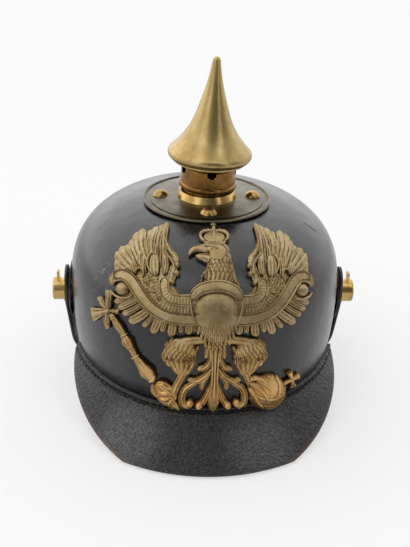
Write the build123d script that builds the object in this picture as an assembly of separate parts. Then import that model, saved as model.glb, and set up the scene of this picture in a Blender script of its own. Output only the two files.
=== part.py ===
from build123d import *
from math import acos, asin, atan2, cos, degrees, pi, radians, sin, sqrt, tan
import os

# A spiked leather parade helmet, in millimetres. The front looks along -Y, +Z is up,
# and the origin lies on the table under the middle of the helmet.

# Clearances that the whole helmet shares
seat_gap = 0.05
soft_gap = 0.3
shaft_gap = 0.05
hole_gap = 0.2
overrun = 4.0

# Skull of pressed leather: an oval in plan under a flattened dome
half_width = 89.5
half_length = 103.5
rim_half_width = 86.4
rim_level = 25.6
widest_level = 64.1
crown_rise = 61.0
crown_power = 3.0
side_power = 2.6
skull_wall = 2.5
crown_vent_radius = 12.0
fine_step_share = 0.001
place_margin_share = 0.02
skull_place_shares = (-1, -0.5, 0, 0.06, 0.14, 0.24, 0.36, 0.48, 0.6, 0.72, 0.84)

# Front visor and rear neck guard
peak_leather = 2.4
flange_top = 28.5
bend_level = 25.4
flare_angle = 43.5
trim_reach_share = 0.945
peak_corner = 26.0
corner_drop = 2.6
corner_radius = 1.2
peak_sweep_radius = 60.0

# Liner and sweatband
liner_leather = 1.2
sweatband_leather = 1.5
liner_foot = 30.0
liner_top = 106.0
liner_top_radius = 58.0
liner_waist_radius = 76.0
sweatband_top = 62.0
tongue_root = 70.0
tongue_count = 12
tongue_slit = 3.0
tongue_spread = 13.0
eyelet_radius = 2.2
eyelet_level = 99.0

# Base plate under the spike
plate_radius = 42.0
plate_sheet = 0.9
plate_hole_radius = 14.0
roll_radius = 1.0
step_radius = 37.5
step_height = 0.5

# Spike: everything above the collar leans a little to the wearer's left
spike_lean = 2.4
lean_pivot = 127.2
collar_foot_radius = 19.6
collar_top_radius = 17.9
collar_sheet = 1.0
collar_height = 4.3
neck_radius = 17.8
neck_sheet = 0.8
neck_tail_radius = 16.2
neck_foot = 128.2
bead_level = 134.5
bead_height = 3.8
bead_proud = 1.1
neck_top = 150.0
neck_flare_radius = 19.6
vent_level = 145.7
vent_radius = 3.0
vent_count = 5
vent_turn = 4.0
lip_radius = 23.5
lip_height = 1.4
shoulder_radius = 27.0
shoulder_rise = 4.0
cone_height = 66.5
tip_radius = 2.2
tip_flat_radius = 0.8
cone_sheet = 0.9
floor_sheet = 1.0

# Domed studs that clench the plate to the skull
stud_count = 4
stud_circle = 30.0
stud_head_radius = 5.25
stud_head_height = 3.3
stud_shank_radius = 1.5
prong_length = 16.0
prong_width = 3.0
prong_sheet = 0.8

# Rear spine with its sliding vent
spine_width = 12.0
spine_sheet = 0.9
rib_width = 7.0
rib_height = 2.7
rib_sheet = 0.6
rib_foot = 44.0
vent_travel = 9.0
slider_length = 12.0
slider_width = 5.0
slider_sheet = 1.0
slider_level = 58.5
slider_standoff = 0.5
knob_stem_radius = 1.2
knob_radius = 2.2
knob_reach = 3.6
skull_slot_width = 3.0
skull_slot_length = 6.0
spine_stud_level = 39.0
spine_stud_radius = 2.6
spine_stud_height = 1.6

# Side posts, cockades and leather chinstrap
post_level = 56.3
post_radius = 7.75
post_length = 7.4
post_edge = 1.0
post_dish = 0.8
post_flat_radius = 2.0
post_flange_radius = 8.9
post_flange = 0.8
post_shank_radius = 2.6
nut_side = 9.0
nut_height = 3.0
washer_radius = 7.0
washer_leather = 1.0
post_tongue_height = 6.0
post_tongue_width = 6.0
post_tongue_sheet = 1.3
cockade_radius = 19.5
cockade_dish = 1.7
cockade_sheet = 0.8
cockade_crown = 2.4
strap_leather = 2.1
strap_width = 20.0
strap_tail = 17.0
strap_lean = 7.9
strap_lean_start = 50.0
strap_bend_radius = 22.0
strap_flat_level = 4.4
strap_overlap = 40.0
eyelet_wall = 0.5
buckle_place = 26.0
buckle_length = 12.0
buckle_wire = 1.8

# Eagle plate: one brass stamping laid on the curve of the skull
eagle_tilt = 28.0
eagle_half_span = 60.0
eagle_centre = 33.0
eagle_back = 0.15
sheet_height = 1.1
feather_height = 1.8
arm_height = 2.3
ribbon_height = 2.7
body_height = 3.2
head_height = 3.0
orb_radius = 11.2
orb_height = 6.2
eagle_clearance = 0.3
loop_place_share = 0.5
loop_rise_share = 0.25
loop_width = 5.0
loop_sheet = 1.2
loop_reach = 6.0
wedge_side = 2.4
wedge_length = 18.0

length_ratio = half_length / half_width
rim_tuck = half_width - rim_half_width


def skull_profile(place):
    """Radius and height of the outer skull: -1 at the rim, 0 at the widest level, 1 at the apex."""
    if place <= 0:
        return half_width - rim_tuck * place**2, widest_level + place * (widest_level - rim_level)
    turn = radians(90 * place)
    radius = half_width * cos(turn) ** (2 / side_power)
    return radius, widest_level + crown_rise * sin(turn) ** (2 / crown_power)


def skull_offset(place, distance):
    """The same point moved out by a distance square to the skull."""
    radius, height = skull_profile(place)
    low_radius, low_height = skull_profile(place - fine_step_share)
    high_radius, high_height = skull_profile(place + fine_step_share)
    run, rise = high_radius - low_radius, high_height - low_height
    reach = sqrt(run**2 + rise**2)
    return radius + distance * rise / reach, height - distance * run / reach


def place_at_radius(radius):
    """Place on the crown where the skull has this radius in the plane of the side posts."""
    return degrees(acos((radius / half_width) ** (side_power / 2))) / 90


def place_at_level(level):
    """Place on the profile at a height."""
    if level <= widest_level:
        return (level - widest_level) / (widest_level - rim_level)
    return degrees(asin(((level - widest_level) / crown_rise) ** (crown_power / 2))) / 90


def skull_radius(level):
    """Half width of the skull at a height."""
    return skull_profile(place_at_level(level))[0]


def crown_level(across, along=0):
    """Height of the outer skull over a point of the plan."""
    share = sqrt((across / half_width) ** 2 + (along / half_length) ** 2)
    return widest_level + crown_rise * (1 - share**side_power) ** (1 / crown_power)


def profile_line(places, distance):
    """Smooth line through the skull's offset points."""
    return Spline([skull_offset(place, distance) for place in places])


def turned(sketch, arc=360):
    """Body of revolution from a sketch drawn as radius and height."""
    return revolve(Plane.XZ * sketch, axis=Axis.Z, revolution_arc=arc)


def oval(body):
    """Stretch a body of revolution to the oval plan of the skull."""
    return scale(body, by=(1, length_ratio, 1))


def band(low, high, places):
    """Flat section between two offsets of the skull."""
    inner, outer = profile_line(places, low), profile_line(places, high)
    foot, head = Line(inner @ 0, outer @ 0), Line(inner @ 1, outer @ 1)
    return make_face(inner + head + outer + foot)


def skin(low, high, low_level, top_radius):
    """Shell that follows the skull between two offsets."""
    top_place = place_at_radius(top_radius)
    foot_place = place_at_level(low_level)
    lowest, highest = foot_place + place_margin_share, top_place - place_margin_share
    middle = [place for place in skull_place_shares if lowest < place < highest]
    return oval(turned(band(low, high, [foot_place] + middle + [top_place])))


def block(x_range, y_range, z_range):
    """Box from its limits along each axis."""
    sizes = [high - low for low, high in (x_range, y_range, z_range)]
    middle = [(high + low) / 2 for low, high in (x_range, y_range, z_range)]
    return Pos(*middle) * Box(*sizes)


def skull_front(across, rise):
    """Point of the outer skull at a place of the emblem's drawing plane, and the way out of it."""
    tilt = radians(eagle_tilt)
    start = Vector(across, rise * sin(tilt), rise * cos(tilt))
    way = Vector(0, -cos(tilt), sin(tilt))

    def depth(point):
        plan = sqrt((point.X / half_width) ** 2 + (point.Y / half_length) ** 2)
        if point.Z <= widest_level:
            return plan - skull_radius(max(point.Z, rim_level)) / half_width
        if point.Z >= widest_level + crown_rise:
            return plan
        return plan - skull_radius(point.Z) / half_width

    near, far = 0, 2 * half_length
    for _ in range(40):
        middle = (near + far) / 2
        if depth(start + way * middle) < 0:
            near = middle
        else:
            far = middle
    point = start + way * near
    step = half_width * fine_step_share
    steps = (Vector(step, 0, 0), Vector(0, step, 0), Vector(0, 0, step))
    slopes = [depth(point + move) - depth(point - move) for move in steps]
    return point, Vector(*slopes).normalized()


# Skull and what is stitched to it

def stud_spots():
    """Plan angle of each stud of the base plate."""
    return [90 * turn for turn in range(stud_count)]


def stud_seat(angle):
    """Plan place of a stud."""
    return stud_circle * cos(radians(angle)), stud_circle * sin(radians(angle))


def spine_stud_frame():
    """Plane square to the back of the skull where the spine's stud passes through it."""
    low, high = (skull_radius(spine_stud_level + step) * length_ratio for step in (-hole_gap, hole_gap))
    slope = (high - low) / (2 * hole_gap)
    seat = Vector(0, skull_radius(spine_stud_level) * length_ratio, spine_stud_level)
    return Plane(origin=seat, x_dir=(1, 0, 0), z_dir=(0, 1, -slope))


def loop_frames():
    """Planes square to the skull where the emblem's two loops pass through it."""
    across = eagle_half_span * loop_place_share
    rise = eagle_centre + eagle_half_span * loop_rise_share
    frames = []
    for side in (-1, 1):
        point, way = skull_front(side * across, rise)
        frames.append(Plane(origin=point, x_dir=(1, 0, -way.X / way.Z), z_dir=way))
    return frames


def make_skull():
    """Pressed leather shell with its vent, stud, post, loop and slide holes."""
    places = list(skull_place_shares) + [place_at_radius(crown_vent_radius)]
    shell = oval(turned(band(-skull_wall, 0, places)))
    for angle in stud_spots():
        x, y = stud_seat(angle)
        level = crown_level(x, y)
        shell -= Pos(x, y, level) * Cylinder(stud_shank_radius + hole_gap, 4 * skull_wall)
    post_bore = Pos(0, 0, post_level) * Rot(0, 90, 0)
    shell -= post_bore * Cylinder(post_shank_radius + hole_gap, 2 * half_width + overrun)
    for frame in loop_frames():
        shell -= frame * Box(loop_width + 2 * hole_gap, loop_sheet + 2 * hole_gap, 4 * skull_wall)
    slot_foot = slider_level + slider_length / 2 + overrun / 2
    back = (half_length - 2 * skull_wall, half_length + skull_wall)
    half_slot = skull_slot_width / 2
    shell -= block((-half_slot, half_slot), back, (slot_foot, slot_foot + skull_slot_length))
    return shell - spine_stud_frame() * Cylinder(stud_shank_radius + hole_gap, 8 * skull_wall)


def peak_lines(lift):
    """Radii and levels of a visor's section at a lift off its inner face, from flange to tip."""
    slope = radians(flare_angle)
    root = skull_radius(flange_top) + seat_gap
    bend = skull_radius(rim_level) + seat_gap
    shift = lift * tan(slope / 2)
    tip_radius_in = bend + bend_level / tan(slope)
    return [
        (root + lift, flange_top),
        (bend + lift, bend_level + shift),
        (tip_radius_in + lift * sin(slope), lift * cos(slope)),
    ]


def peak_ring():
    """Full ring of visor leather: a flange on the skull over a flared skirt."""
    inner, outer = peak_lines(0), peak_lines(peak_leather)
    return oval(turned(make_face(Polyline(*inner, *reversed(outer), inner[0]))))


def make_visor():
    """Front visor, cut from the ring along a sloping line seen from the side."""
    tip = peak_lines(peak_leather)[-1][0] * length_ratio
    foot = -tip * trim_reach_share
    far = -tip - overrun
    corner = (-peak_corner, flange_top - corner_drop)
    top = flange_top + overrun
    outline = Polyline((far, 0), (foot, 0), corner, (-peak_corner, top), (far, top), (far, 0))
    side = make_face(outline)
    side = fillet(side.vertices().sort_by_distance(Vector(*corner, 0))[0], corner_radius)
    side = fillet(side.vertices().sort_by_distance(Vector(foot, 0, 0))[0], peak_sweep_radius)
    window = extrude(Plane.YZ * side, 2 * half_width, both=True)
    return peak_ring() & window


def make_sweat_lines(distance):
    """Liner profile moved in by a distance."""
    foot_radius = skull_radius(liner_foot) - skull_wall - soft_gap - distance
    waist = (liner_foot + liner_top) / 2
    points = [(foot_radius, liner_foot), (liner_waist_radius - distance, waist)]
    points.append((liner_top_radius - distance, liner_top - distance))
    return Spline(points, tangents=[(0, 1), (-1, 1)])


def liner_section(near, far):
    """Section of a lining leather between two distances in from the liner's outer face."""
    outer, inner = make_sweat_lines(near), make_sweat_lines(far)
    return make_face(outer + Line(outer @ 1, inner @ 1) + inner + Line(inner @ 0, outer @ 0))


def make_liner():
    """Soft leather lining, slit into tongues that lean in to the crown, each with an eyelet."""
    start, reach = liner_top_radius / 2, half_length
    level = liner_top + overrun
    half_root, half_top = tongue_slit / 2, tongue_spread / 2
    slit_outline = Polyline(
        (-half_root, tongue_root), (half_root, tongue_root),
        (half_top, level), (-half_top, level), (-half_root, tongue_root),
    )
    slit = Pos(start, 0, 0) * extrude(Plane.YZ * make_face(slit_outline), reach)
    hole = Pos(start + reach / 2, 0, eyelet_level) * Rot(0, 90, 0) * Cylinder(eyelet_radius, reach)
    step = 360 / tongue_count
    cuts = [Rot(0, 0, step * (turn + 0.5)) * slit for turn in range(tongue_count)]
    cuts += [Rot(0, 0, step * turn) * hole for turn in range(tongue_count)]
    return oval(turned(liner_section(0, liner_leather)) - cuts)


def make_sweatband():
    """Sweatband that lies inside the foot of the liner."""
    near = liner_leather + soft_gap
    ring = oval(turned(liner_section(near, near + sweatband_leather)))
    wide = 2 * half_length
    return ring & block((-wide, wide), (-wide, wide), (0, sweatband_top))


# Spike and its base plate

def plate_level(radius):
    """Height of the underside of the round base plate."""
    return crown_level(0, radius) + seat_gap


def make_base_plate():
    """Round domed plate with a rolled rim and a raised field inside it."""
    radii = [plate_hole_radius, (plate_hole_radius + plate_radius) / 2, plate_radius - roll_radius]
    under = Spline([(radius, plate_level(radius)) for radius in radii])
    over = Spline([(radius, plate_level(radius) + plate_sheet) for radius in radii])
    sheet = make_face(under + Line(under @ 1, over @ 1) + over + Line(over @ 0, under @ 0))
    field_radii = [radii[0], (radii[0] + step_radius) / 2, step_radius]
    low = Spline([(radius, plate_level(radius) + plate_sheet / 2) for radius in field_radii])
    lift = plate_sheet + step_height
    high = Spline([(radius, plate_level(radius) + lift) for radius in field_radii])
    field = make_face(low + Line(low @ 1, high @ 1) + high + Line(high @ 0, low @ 0))
    rim = (plate_radius - roll_radius, plate_level(plate_radius) + roll_radius)
    plate = turned(sheet + field + Pos(*rim) * Circle(roll_radius))
    for angle in stud_spots():
        x, y = stud_seat(angle)
        plate -= Pos(x, y, plate_level(stud_circle)) * Cylinder(stud_shank_radius + hole_gap, overrun)
    return plate


def field_level(radius):
    """Height of the raised field of the base plate."""
    return plate_level(radius) + plate_sheet + step_height


def make_collar():
    """Flared brass collar between the plate and the neck of the spike."""
    foot = field_level(collar_foot_radius - collar_sheet) + seat_gap
    head = foot + collar_height
    inside = collar_top_radius - collar_sheet
    outline = Polyline((inside, foot), (collar_foot_radius, foot))
    outline += ThreePointArc(
        (collar_foot_radius, foot),
        (collar_foot_radius - collar_sheet / 2, foot + collar_height / 3),
        (collar_top_radius, head),
    )
    outline += Polyline((collar_top_radius, head), (inside, head), (inside, foot))
    return turned(make_face(outline))


def make_neck():
    """Neck tube of the spike with its half-round bead, flared head and vent holes."""
    shoulder = bead_level - bead_height / 2
    tube = Polyline(
        (neck_tail_radius, neck_foot),
        (neck_tail_radius, shoulder),
        (neck_radius, shoulder),
        (neck_radius, vent_level),
    )
    tube += ThreePointArc(
        (neck_radius, vent_level),
        (neck_radius + (neck_flare_radius - neck_radius) / 3, (vent_level + 2 * neck_top) / 3),
        (neck_flare_radius, neck_top),
    )
    inner = neck_tail_radius - neck_sheet
    tube += Polyline(
        (neck_flare_radius, neck_top),
        (neck_flare_radius - 2 * neck_sheet, neck_top),
        (neck_radius - neck_sheet, vent_level),
        (neck_radius - neck_sheet, shoulder + neck_sheet),
        (inner, shoulder + neck_sheet),
        (inner, neck_foot),
        (neck_tail_radius, neck_foot),
    )
    section = make_face(tube)
    section += Pos(neck_radius, bead_level) * Ellipse(bead_proud, bead_height / 2)
    neck = turned(section)
    for turn in range(vent_count):
        bore = Rot(0, 0, vent_turn - 90 + 360 * turn / vent_count) * Pos(neck_radius, 0, vent_level)
        neck -= bore * Rot(0, 90, 0) * Cylinder(vent_radius, neck_radius)
    return neck


def cone_line(inset):
    """Hollow-sided outline of the spike, from shoulder to tip, moved in by an inset."""
    foot = neck_top + lip_height + shoulder_rise
    rise = cone_height - lip_height - shoulder_rise
    width = shoulder_radius - tip_radius
    shares = ((0.97, 0.03), (0.72, 0.14), (0.49, 0.28), (0.28, 0.5), (0.1, 0.76), (0.01, 0.97))
    points = [(tip_radius + width * out - inset, foot + rise * up) for out, up in shares]
    return points


def make_cone():
    """Hollow-sided spike with a rolled shoulder and a bright lip."""
    lip_foot = neck_top + seat_gap
    lip_top = neck_top + lip_height
    shoulder = lip_top + shoulder_rise
    outer = cone_line(0)
    tip = neck_top + cone_height
    outline = Line((lip_radius, lip_foot), (lip_radius, lip_top))
    outline += ThreePointArc(
        (lip_radius, lip_top),
        (shoulder_radius, shoulder - shoulder_rise / 3),
        outer[0],
    )
    outline += Spline(outer)
    outline += ThreePointArc(
        outer[-1], (tip_radius * 0.8, tip - tip_radius * 0.35), (tip_flat_radius, tip)
    )
    inner = cone_line(cone_sheet)[:4]
    inside = lip_radius - cone_sheet
    outline += Polyline((tip_flat_radius, tip), (0, tip), (0, inner[-1][1]), inner[-1])
    outline += Spline(list(reversed(inner)))
    outline += Polyline(
        inner[0],
        (shoulder_radius - 2 * cone_sheet, shoulder - shoulder_rise / 3),
        (inside, lip_top),
        (inside, lip_foot),
        (lip_radius, lip_foot),
    )
    return turned(make_face(outline))


def make_spike_floor():
    """Flat ring that closes the foot of the cone on the neck."""
    foot = neck_top + seat_gap
    outside = lip_radius - cone_sheet - seat_gap
    ring = Cylinder(outside, floor_sheet, align=(Align.CENTER, Align.CENTER, Align.MIN))
    bore = Cylinder(neck_radius - 2 * neck_sheet, overrun)
    return Pos(0, 0, foot) * (ring - bore)


def leaned(body):
    """Lean a piece of the spike about its foot."""
    pivot = Pos(0, 0, lean_pivot)
    return pivot * Rot(0, spike_lean, 0) * pivot.inverse() * body


def under_stud_heads():
    """Body of the plate's raised field and what lies under it, which the stud heads sit on."""
    radii = [stud_circle - 2 * stud_head_radius, stud_circle, stud_circle + 2 * stud_head_radius]
    top = Spline([(radius, field_level(radius) + seat_gap) for radius in radii])
    foot = plate_level(radii[-1]) - overrun
    return turned(make_face(top + Polyline(top @ 1, (radii[-1], foot), (radii[0], foot), top @ 0)))


def make_base_studs():
    """Domed clenching studs: head, shank and two prongs bent flat under the crown."""
    studs = []
    bed = under_stud_heads()
    for angle in stud_spots():
        x, y = stud_seat(angle)
        seat = field_level(stud_circle) + seat_gap
        ball = (stud_head_radius**2 + stud_head_height**2) / (2 * stud_head_height)
        head = Pos(0, 0, seat + stud_head_height - ball) * Sphere(ball)
        head &= Pos(0, 0, seat) * Cylinder(stud_head_radius, 2 * stud_head_height)
        head -= Pos(-x, -y, 0) * bed
        share = (stud_circle + prong_width) / stud_circle
        under = crown_level(x * share, y * share) - 1.04 * skull_wall - 2 * seat_gap
        foot = under - prong_sheet
        rise = seat + stud_head_height / 2 - foot
        shank = Pos(0, 0, foot + rise / 2) * Cylinder(stud_shank_radius, rise)
        prongs = Pos(0, 0, foot + prong_sheet / 2) * Box(prong_width, prong_length, prong_sheet)
        studs.append(Pos(x, y, 0) * (head + Rot(0, 0, angle) * (shank + prongs)))
    return studs


# Rear spine

def make_spine():
    """Brass rail from the plate to the edge of the neck guard, with a hollow rib up its middle."""
    half = spine_width / 2
    back = (half_length / 2, 2 * half_length)
    low = flange_top + 2 * peak_leather
    rail = skin(seat_gap, spine_sheet, low, plate_radius / length_ratio)
    top = plate_radius + soft_gap
    rail &= block((-half, half), (top, 2 * half_length), (low, 2 * half_length))
    ribs = skin(spine_sheet / 2, rib_height, rib_foot, plate_radius / length_ratio)
    rib_half = rib_width / 2
    rib_start = top + rib_height
    ribs &= block((-rib_half, rib_half), (rib_start, 2 * half_length), (rib_foot, 2 * half_length))
    spine = rail + ribs
    lift_low, lift_high = peak_leather + seat_gap, peak_leather + spine_sheet
    inner = [(radius * length_ratio, level) for radius, level in peak_lines(lift_low)]
    outer = [(radius * length_ratio, level) for radius, level in peak_lines(lift_high)]
    ramp_level = low + overrun / 2
    skull_back = skull_radius(ramp_level) * length_ratio
    rim_back = skull_radius(low - peak_leather) * length_ratio
    edge = outer[-1]
    outline = Polyline(
        (skull_back + seat_gap, ramp_level),
        (rim_back + seat_gap * 2, low),
        (inner[0][0], flange_top + seat_gap * 2),
        inner[1],
        inner[2],
        (edge[0] + seat_gap, 0),
        (edge[0] + spine_sheet, 0),
        (edge[0] + spine_sheet, edge[1]),
        outer[1],
        (outer[0][0], flange_top + seat_gap * 2),
        (skull_back + spine_sheet, ramp_level),
        (skull_back + seat_gap, ramp_level),
    )
    lower = extrude(Plane.YZ * make_face(outline), half, both=True)
    spine += lower
    hollow_half = slider_width / 2 + soft_gap
    hollow_foot = slider_level - slider_length / 2 - soft_gap
    hollow_top = hollow_foot + slider_length + vent_travel + 2 * soft_gap
    reach = half_length + rib_height - rib_sheet
    spine -= block((-hollow_half, hollow_half), (half_length - overrun, reach), (hollow_foot, hollow_top))
    slot_half = knob_stem_radius + soft_gap
    slot = block(
        (-slot_half, slot_half),
        (half_length, half_length + overrun),
        (slider_level - slot_half, slider_level + vent_travel + slot_half),
    )
    spine -= slot
    return spine - spine_stud_frame() * Cylinder(stud_shank_radius + hole_gap, 8 * skull_wall)


def make_vent_slider():
    """Flat shutter inside the rib, with a knob that runs in the slot."""
    back = half_length + slider_standoff
    half = slider_width / 2
    ends = (slider_level - slider_length / 2, slider_level + slider_length / 2)
    plate = block((-half, half), (back, back + slider_sheet), ends)
    reach = knob_reach + slider_sheet / 2
    stem = Pos(0, back + slider_sheet / 2 + reach / 2, slider_level)
    stem = stem * Rot(90, 0, 0) * Cylinder(knob_stem_radius, reach)
    knob = Pos(0, back + slider_sheet + knob_reach, slider_level) * Sphere(knob_radius)
    return plate + stem + knob


def make_spine_stud():
    """Small domed stud that holds the foot of the spine."""
    ball = (spine_stud_radius**2 + spine_stud_height**2) / (2 * spine_stud_height)
    head = Pos(0, 0, spine_stud_height - ball) * Sphere(ball)
    head &= Pos(0, 0, ball) * Box(4 * ball, 4 * ball, 2 * ball)
    depth = spine_sheet + skull_wall * length_ratio + prong_sheet + 4 * seat_gap
    rise = depth + spine_stud_height / 2
    shank = Pos(0, 0, rise / 2 - depth) * Cylinder(stud_shank_radius, rise)
    prongs = Pos(0, 0, prong_sheet / 2 - depth) * Box(prong_length / 2, prong_width / 2, prong_sheet)
    return spine_stud_frame() * Pos(0, 0, spine_sheet + 2 * seat_gap) * (head + shank + prongs)


# Side posts, cockades and chinstrap, drawn on the +X side

cockade_face = half_width + cockade_crown
strap_back = cockade_face + soft_gap
post_back = strap_back + strap_leather + soft_gap


def about_post(sketch):
    """Turn a section drawn as place along X and radius about the axis of the side post."""
    return Pos(0, 0, post_level) * revolve(sketch, axis=Axis.X)


def make_cockade():
    """Dished metal disc with a pleated field."""
    bore = post_shank_radius + hole_gap
    rim = cockade_face - cockade_dish
    middle = cockade_radius / 2
    face = ThreePointArc(
        (cockade_face, bore), (cockade_face - cockade_dish / 4, middle), (rim, cockade_radius)
    )
    rear = ThreePointArc(
        (rim - cockade_sheet, cockade_radius),
        (cockade_face - cockade_dish / 4 - cockade_sheet, middle),
        (cockade_face - cockade_sheet, bore),
    )
    return about_post(make_face(face + Line(face @ 1, rear @ 0) + rear + Line(rear @ 1, face @ 0)))


def make_post():
    """Round side post with its flange, dished face, retaining tongue and threaded shank."""
    outer = post_back + post_length + post_flange
    inner_skull = half_width - skull_wall
    tail = inner_skull - washer_leather - nut_height - 1.5 * post_edge
    outline = Polyline(
        (tail, 0),
        (tail, post_shank_radius),
        (post_back, post_shank_radius),
        (post_back, post_flange_radius),
        (post_back + post_flange, post_flange_radius),
        (post_back + post_flange, post_radius),
        (outer - post_edge, post_radius),
    )
    outline += ThreePointArc(
        (outer - post_edge, post_radius),
        (outer - post_edge * 0.3, post_radius - post_edge * 0.3),
        (outer, post_radius - post_edge),
    )
    outline += ThreePointArc(
        (outer, post_radius - post_edge),
        (outer - post_dish * 0.75, post_radius / 2),
        (outer - post_dish, post_flat_radius),
    )
    outline += Polyline((outer - post_dish, post_flat_radius), (outer - post_dish, 0), (tail, 0))
    body = about_post(make_face(outline))
    middle = post_back + post_flange + post_length / 2
    half_sheet = post_tongue_sheet / 2
    half = post_tongue_width / 2
    top = post_level + post_radius + post_tongue_height
    root = post_level + post_radius / 2
    blade = block((middle - half_sheet, middle + half_sheet), (-half, half), (root, top))
    blade = fillet(blade.edges().filter_by(Axis.X).group_by(Axis.Z)[-1], half / 2)
    return body + blade


def make_washer():
    """Leather washer inside the skull."""
    front = half_width - skull_wall - 2 * seat_gap - crown_tuck_at_post()
    ring = make_face(
        Polyline(
            (front, post_shank_radius + hole_gap),
            (front, washer_radius),
            (front - washer_leather, washer_radius),
            (front - washer_leather, post_shank_radius + hole_gap),
            (front, post_shank_radius + hole_gap),
        )
    )
    return about_post(ring)


def crown_tuck_at_post():
    """How far the inner wall draws in over the washer's area."""
    return half_width - skull_radius(post_level - washer_radius)


def make_nut():
    """Square nut on the post's shank."""
    front = half_width - skull_wall - 3 * seat_gap - crown_tuck_at_post() - washer_leather
    half = nut_side / 2
    nut = block((front - nut_height, front), (-half, half), (post_level - half, post_level + half))
    bore = Pos(front, 0, post_level) * Rot(0, 90, 0)
    return nut - bore * Cylinder(post_shank_radius + shaft_gap, 4 * nut_height)


def strap_outline(flat_level, inner_end):
    """Side of the strap seen from the front: straight by the post, leaning in, then flat under."""
    slope = radians(strap_lean)
    start = strap_lean_start
    foot = flat_level
    inward = (start - foot) * tan(slope)
    inner = FilletPolyline(
        (strap_back, post_level),
        (strap_back, start),
        (strap_back - inward, foot + strap_leather),
        (inner_end, foot + strap_leather),
        radius=strap_bend_radius,
    )
    outer = FilletPolyline(
        (strap_back + strap_leather, post_level),
        (strap_back + strap_leather, start),
        (strap_back + strap_leather - inward, foot),
        (inner_end, foot),
        radius=strap_bend_radius + strap_leather,
    )
    return make_face(inner + Line(inner @ 1, outer @ 1) + outer + Line(outer @ 0, inner @ 0))


def make_strap(flat_level, inner_end):
    """One half of the leather chinstrap, with a round end hung on the post."""
    half = strap_width / 2
    ribbon = extrude(Plane.XZ * strap_outline(flat_level, inner_end), half, both=True)
    tail_centre = post_level + strap_tail - half
    middle = strap_back + strap_leather / 2
    tab = Pos(middle, 0, tail_centre) * Rot(0, 90, 0) * Cylinder(half, strap_leather)
    tab += block((strap_back, strap_back + strap_leather), (-half, half), (post_level, tail_centre))
    hole = Pos(middle, 0, post_level) * Rot(0, 90, 0)
    bore = post_shank_radius + shaft_gap + eyelet_wall + seat_gap
    return ribbon + tab - hole * Cylinder(bore, 2 * strap_leather)


def make_strap_eyelet():
    """Brass eyelet that lines the strap's hole."""
    bore = post_shank_radius + shaft_gap
    front = strap_back + strap_leather
    ring = make_face(
        Polyline(
            (strap_back, bore), (front, bore), (front, bore + eyelet_wall),
            (strap_back, bore + eyelet_wall), (strap_back, bore),
        )
    )
    return about_post(ring)


upper_flat = strap_flat_level + strap_leather + soft_gap


def make_buckle():
    """Rectangular brass loop round both layers of the strap."""
    inner_half = strap_width / 2 + soft_gap
    outer_half = inner_half + buckle_wire
    low = strap_flat_level - soft_gap
    high = upper_flat + strap_leather + soft_gap
    ends = (buckle_place - buckle_length / 2, buckle_place + buckle_length / 2)
    frame = block(ends, (-outer_half, outer_half), (low - buckle_wire, high + buckle_wire))
    frame = fillet(frame.edges().filter_by(Axis.X), buckle_wire / 2)
    return frame - block((0, 2 * buckle_place), (-inner_half, inner_half), (low, high))


# Eagle plate, drawn in a plane that leans back by the eagle's tilt

def drawn(across, rise):
    """Place of the drawing from shares of the half span."""
    return Vector(eagle_half_span * across, eagle_centre + eagle_half_span * rise)


def drop(root, root_share, tip, tip_share):
    """Flat shape of two round ends joined by their tangents."""
    start, end = drawn(*root), drawn(*tip)
    start_radius, end_radius = eagle_half_span * root_share, eagle_half_span * tip_share
    way = end - start
    heading = atan2(way.Y, way.X)
    lean = acos((start_radius - end_radius) / way.length)

    def rim(centre, radius, angle):
        return centre + Vector(radius * cos(angle), radius * sin(angle))

    left_root, left_tip = rim(start, start_radius, heading + lean), rim(end, end_radius, heading + lean)
    right_root, right_tip = rim(start, start_radius, heading - lean), rim(end, end_radius, heading - lean)
    outline = Line(left_root, left_tip)
    outline += ThreePointArc(left_tip, rim(end, end_radius, heading), right_tip)
    outline += Line(right_tip, right_root)
    outline += ThreePointArc(right_root, rim(start, start_radius, heading + pi), left_root)
    return make_face(outline)


def stroke(stations):
    """Brush stroke through stations of across, rise and half thickness shares."""
    parts = []
    for (x0, y0, r0), (x1, y1, r1) in zip(stations, stations[1:]):
        parts.append(drop((x0, y0), r0, (x1, y1), r1))
    return parts


def both_wings(parts):
    """Shapes of the left half and their mirror images."""
    return parts + [mirror(part, about=Plane.YZ) for part in parts]


# Wing feathers from the top one round to the body: root, tip and half thickness at the tip
feather_shares = (
    ((-0.40, 0.42), (-0.44, 0.86), 0.080),
    ((-0.47, 0.38), (-0.585, 0.80), 0.085),
    ((-0.52, 0.34), (-0.735, 0.73), 0.085),
    ((-0.56, 0.32), (-0.860, 0.57), 0.085),
    ((-0.60, 0.28), (-0.915, 0.375), 0.085),
    ((-0.60, 0.22), (-0.880, 0.205), 0.078),
    ((-0.58, 0.18), (-0.815, 0.060), 0.075),
    ((-0.53, 0.14), (-0.725, -0.020), 0.072),
    ((-0.47, 0.10), (-0.610, -0.075), 0.068),
    ((-0.40, 0.08), (-0.505, -0.110), 0.063),
    ((-0.33, 0.08), (-0.395, -0.115), 0.060),
    ((-0.26, 0.08), (-0.285, -0.095), 0.058),
    ((-0.19, 0.08), (-0.185, -0.075), 0.055),
)
root_thickness_share = 0.055
rib_inset_share = 0.018
covert_shares = (
    ((-0.40, 0.36), (-0.43, 0.64), 0.065),
    ((-0.46, 0.32), (-0.54, 0.58), 0.065),
    ((-0.51, 0.28), (-0.64, 0.50), 0.060),
    ((-0.53, 0.22), (-0.71, 0.36), 0.055),
)
arm_shares = (
    (-0.20, 0.135, 0.060), (-0.36, 0.175, 0.065), (-0.435, 0.27, 0.065),
    (-0.42, 0.40, 0.075), (-0.36, 0.47, 0.050),
)
curl_shares = ((-0.395, 0.56, 0.050), (-0.375, 0.50, 0.055), (-0.34, 0.42, 0.045), (-0.37, 0.36, 0.045))
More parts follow.
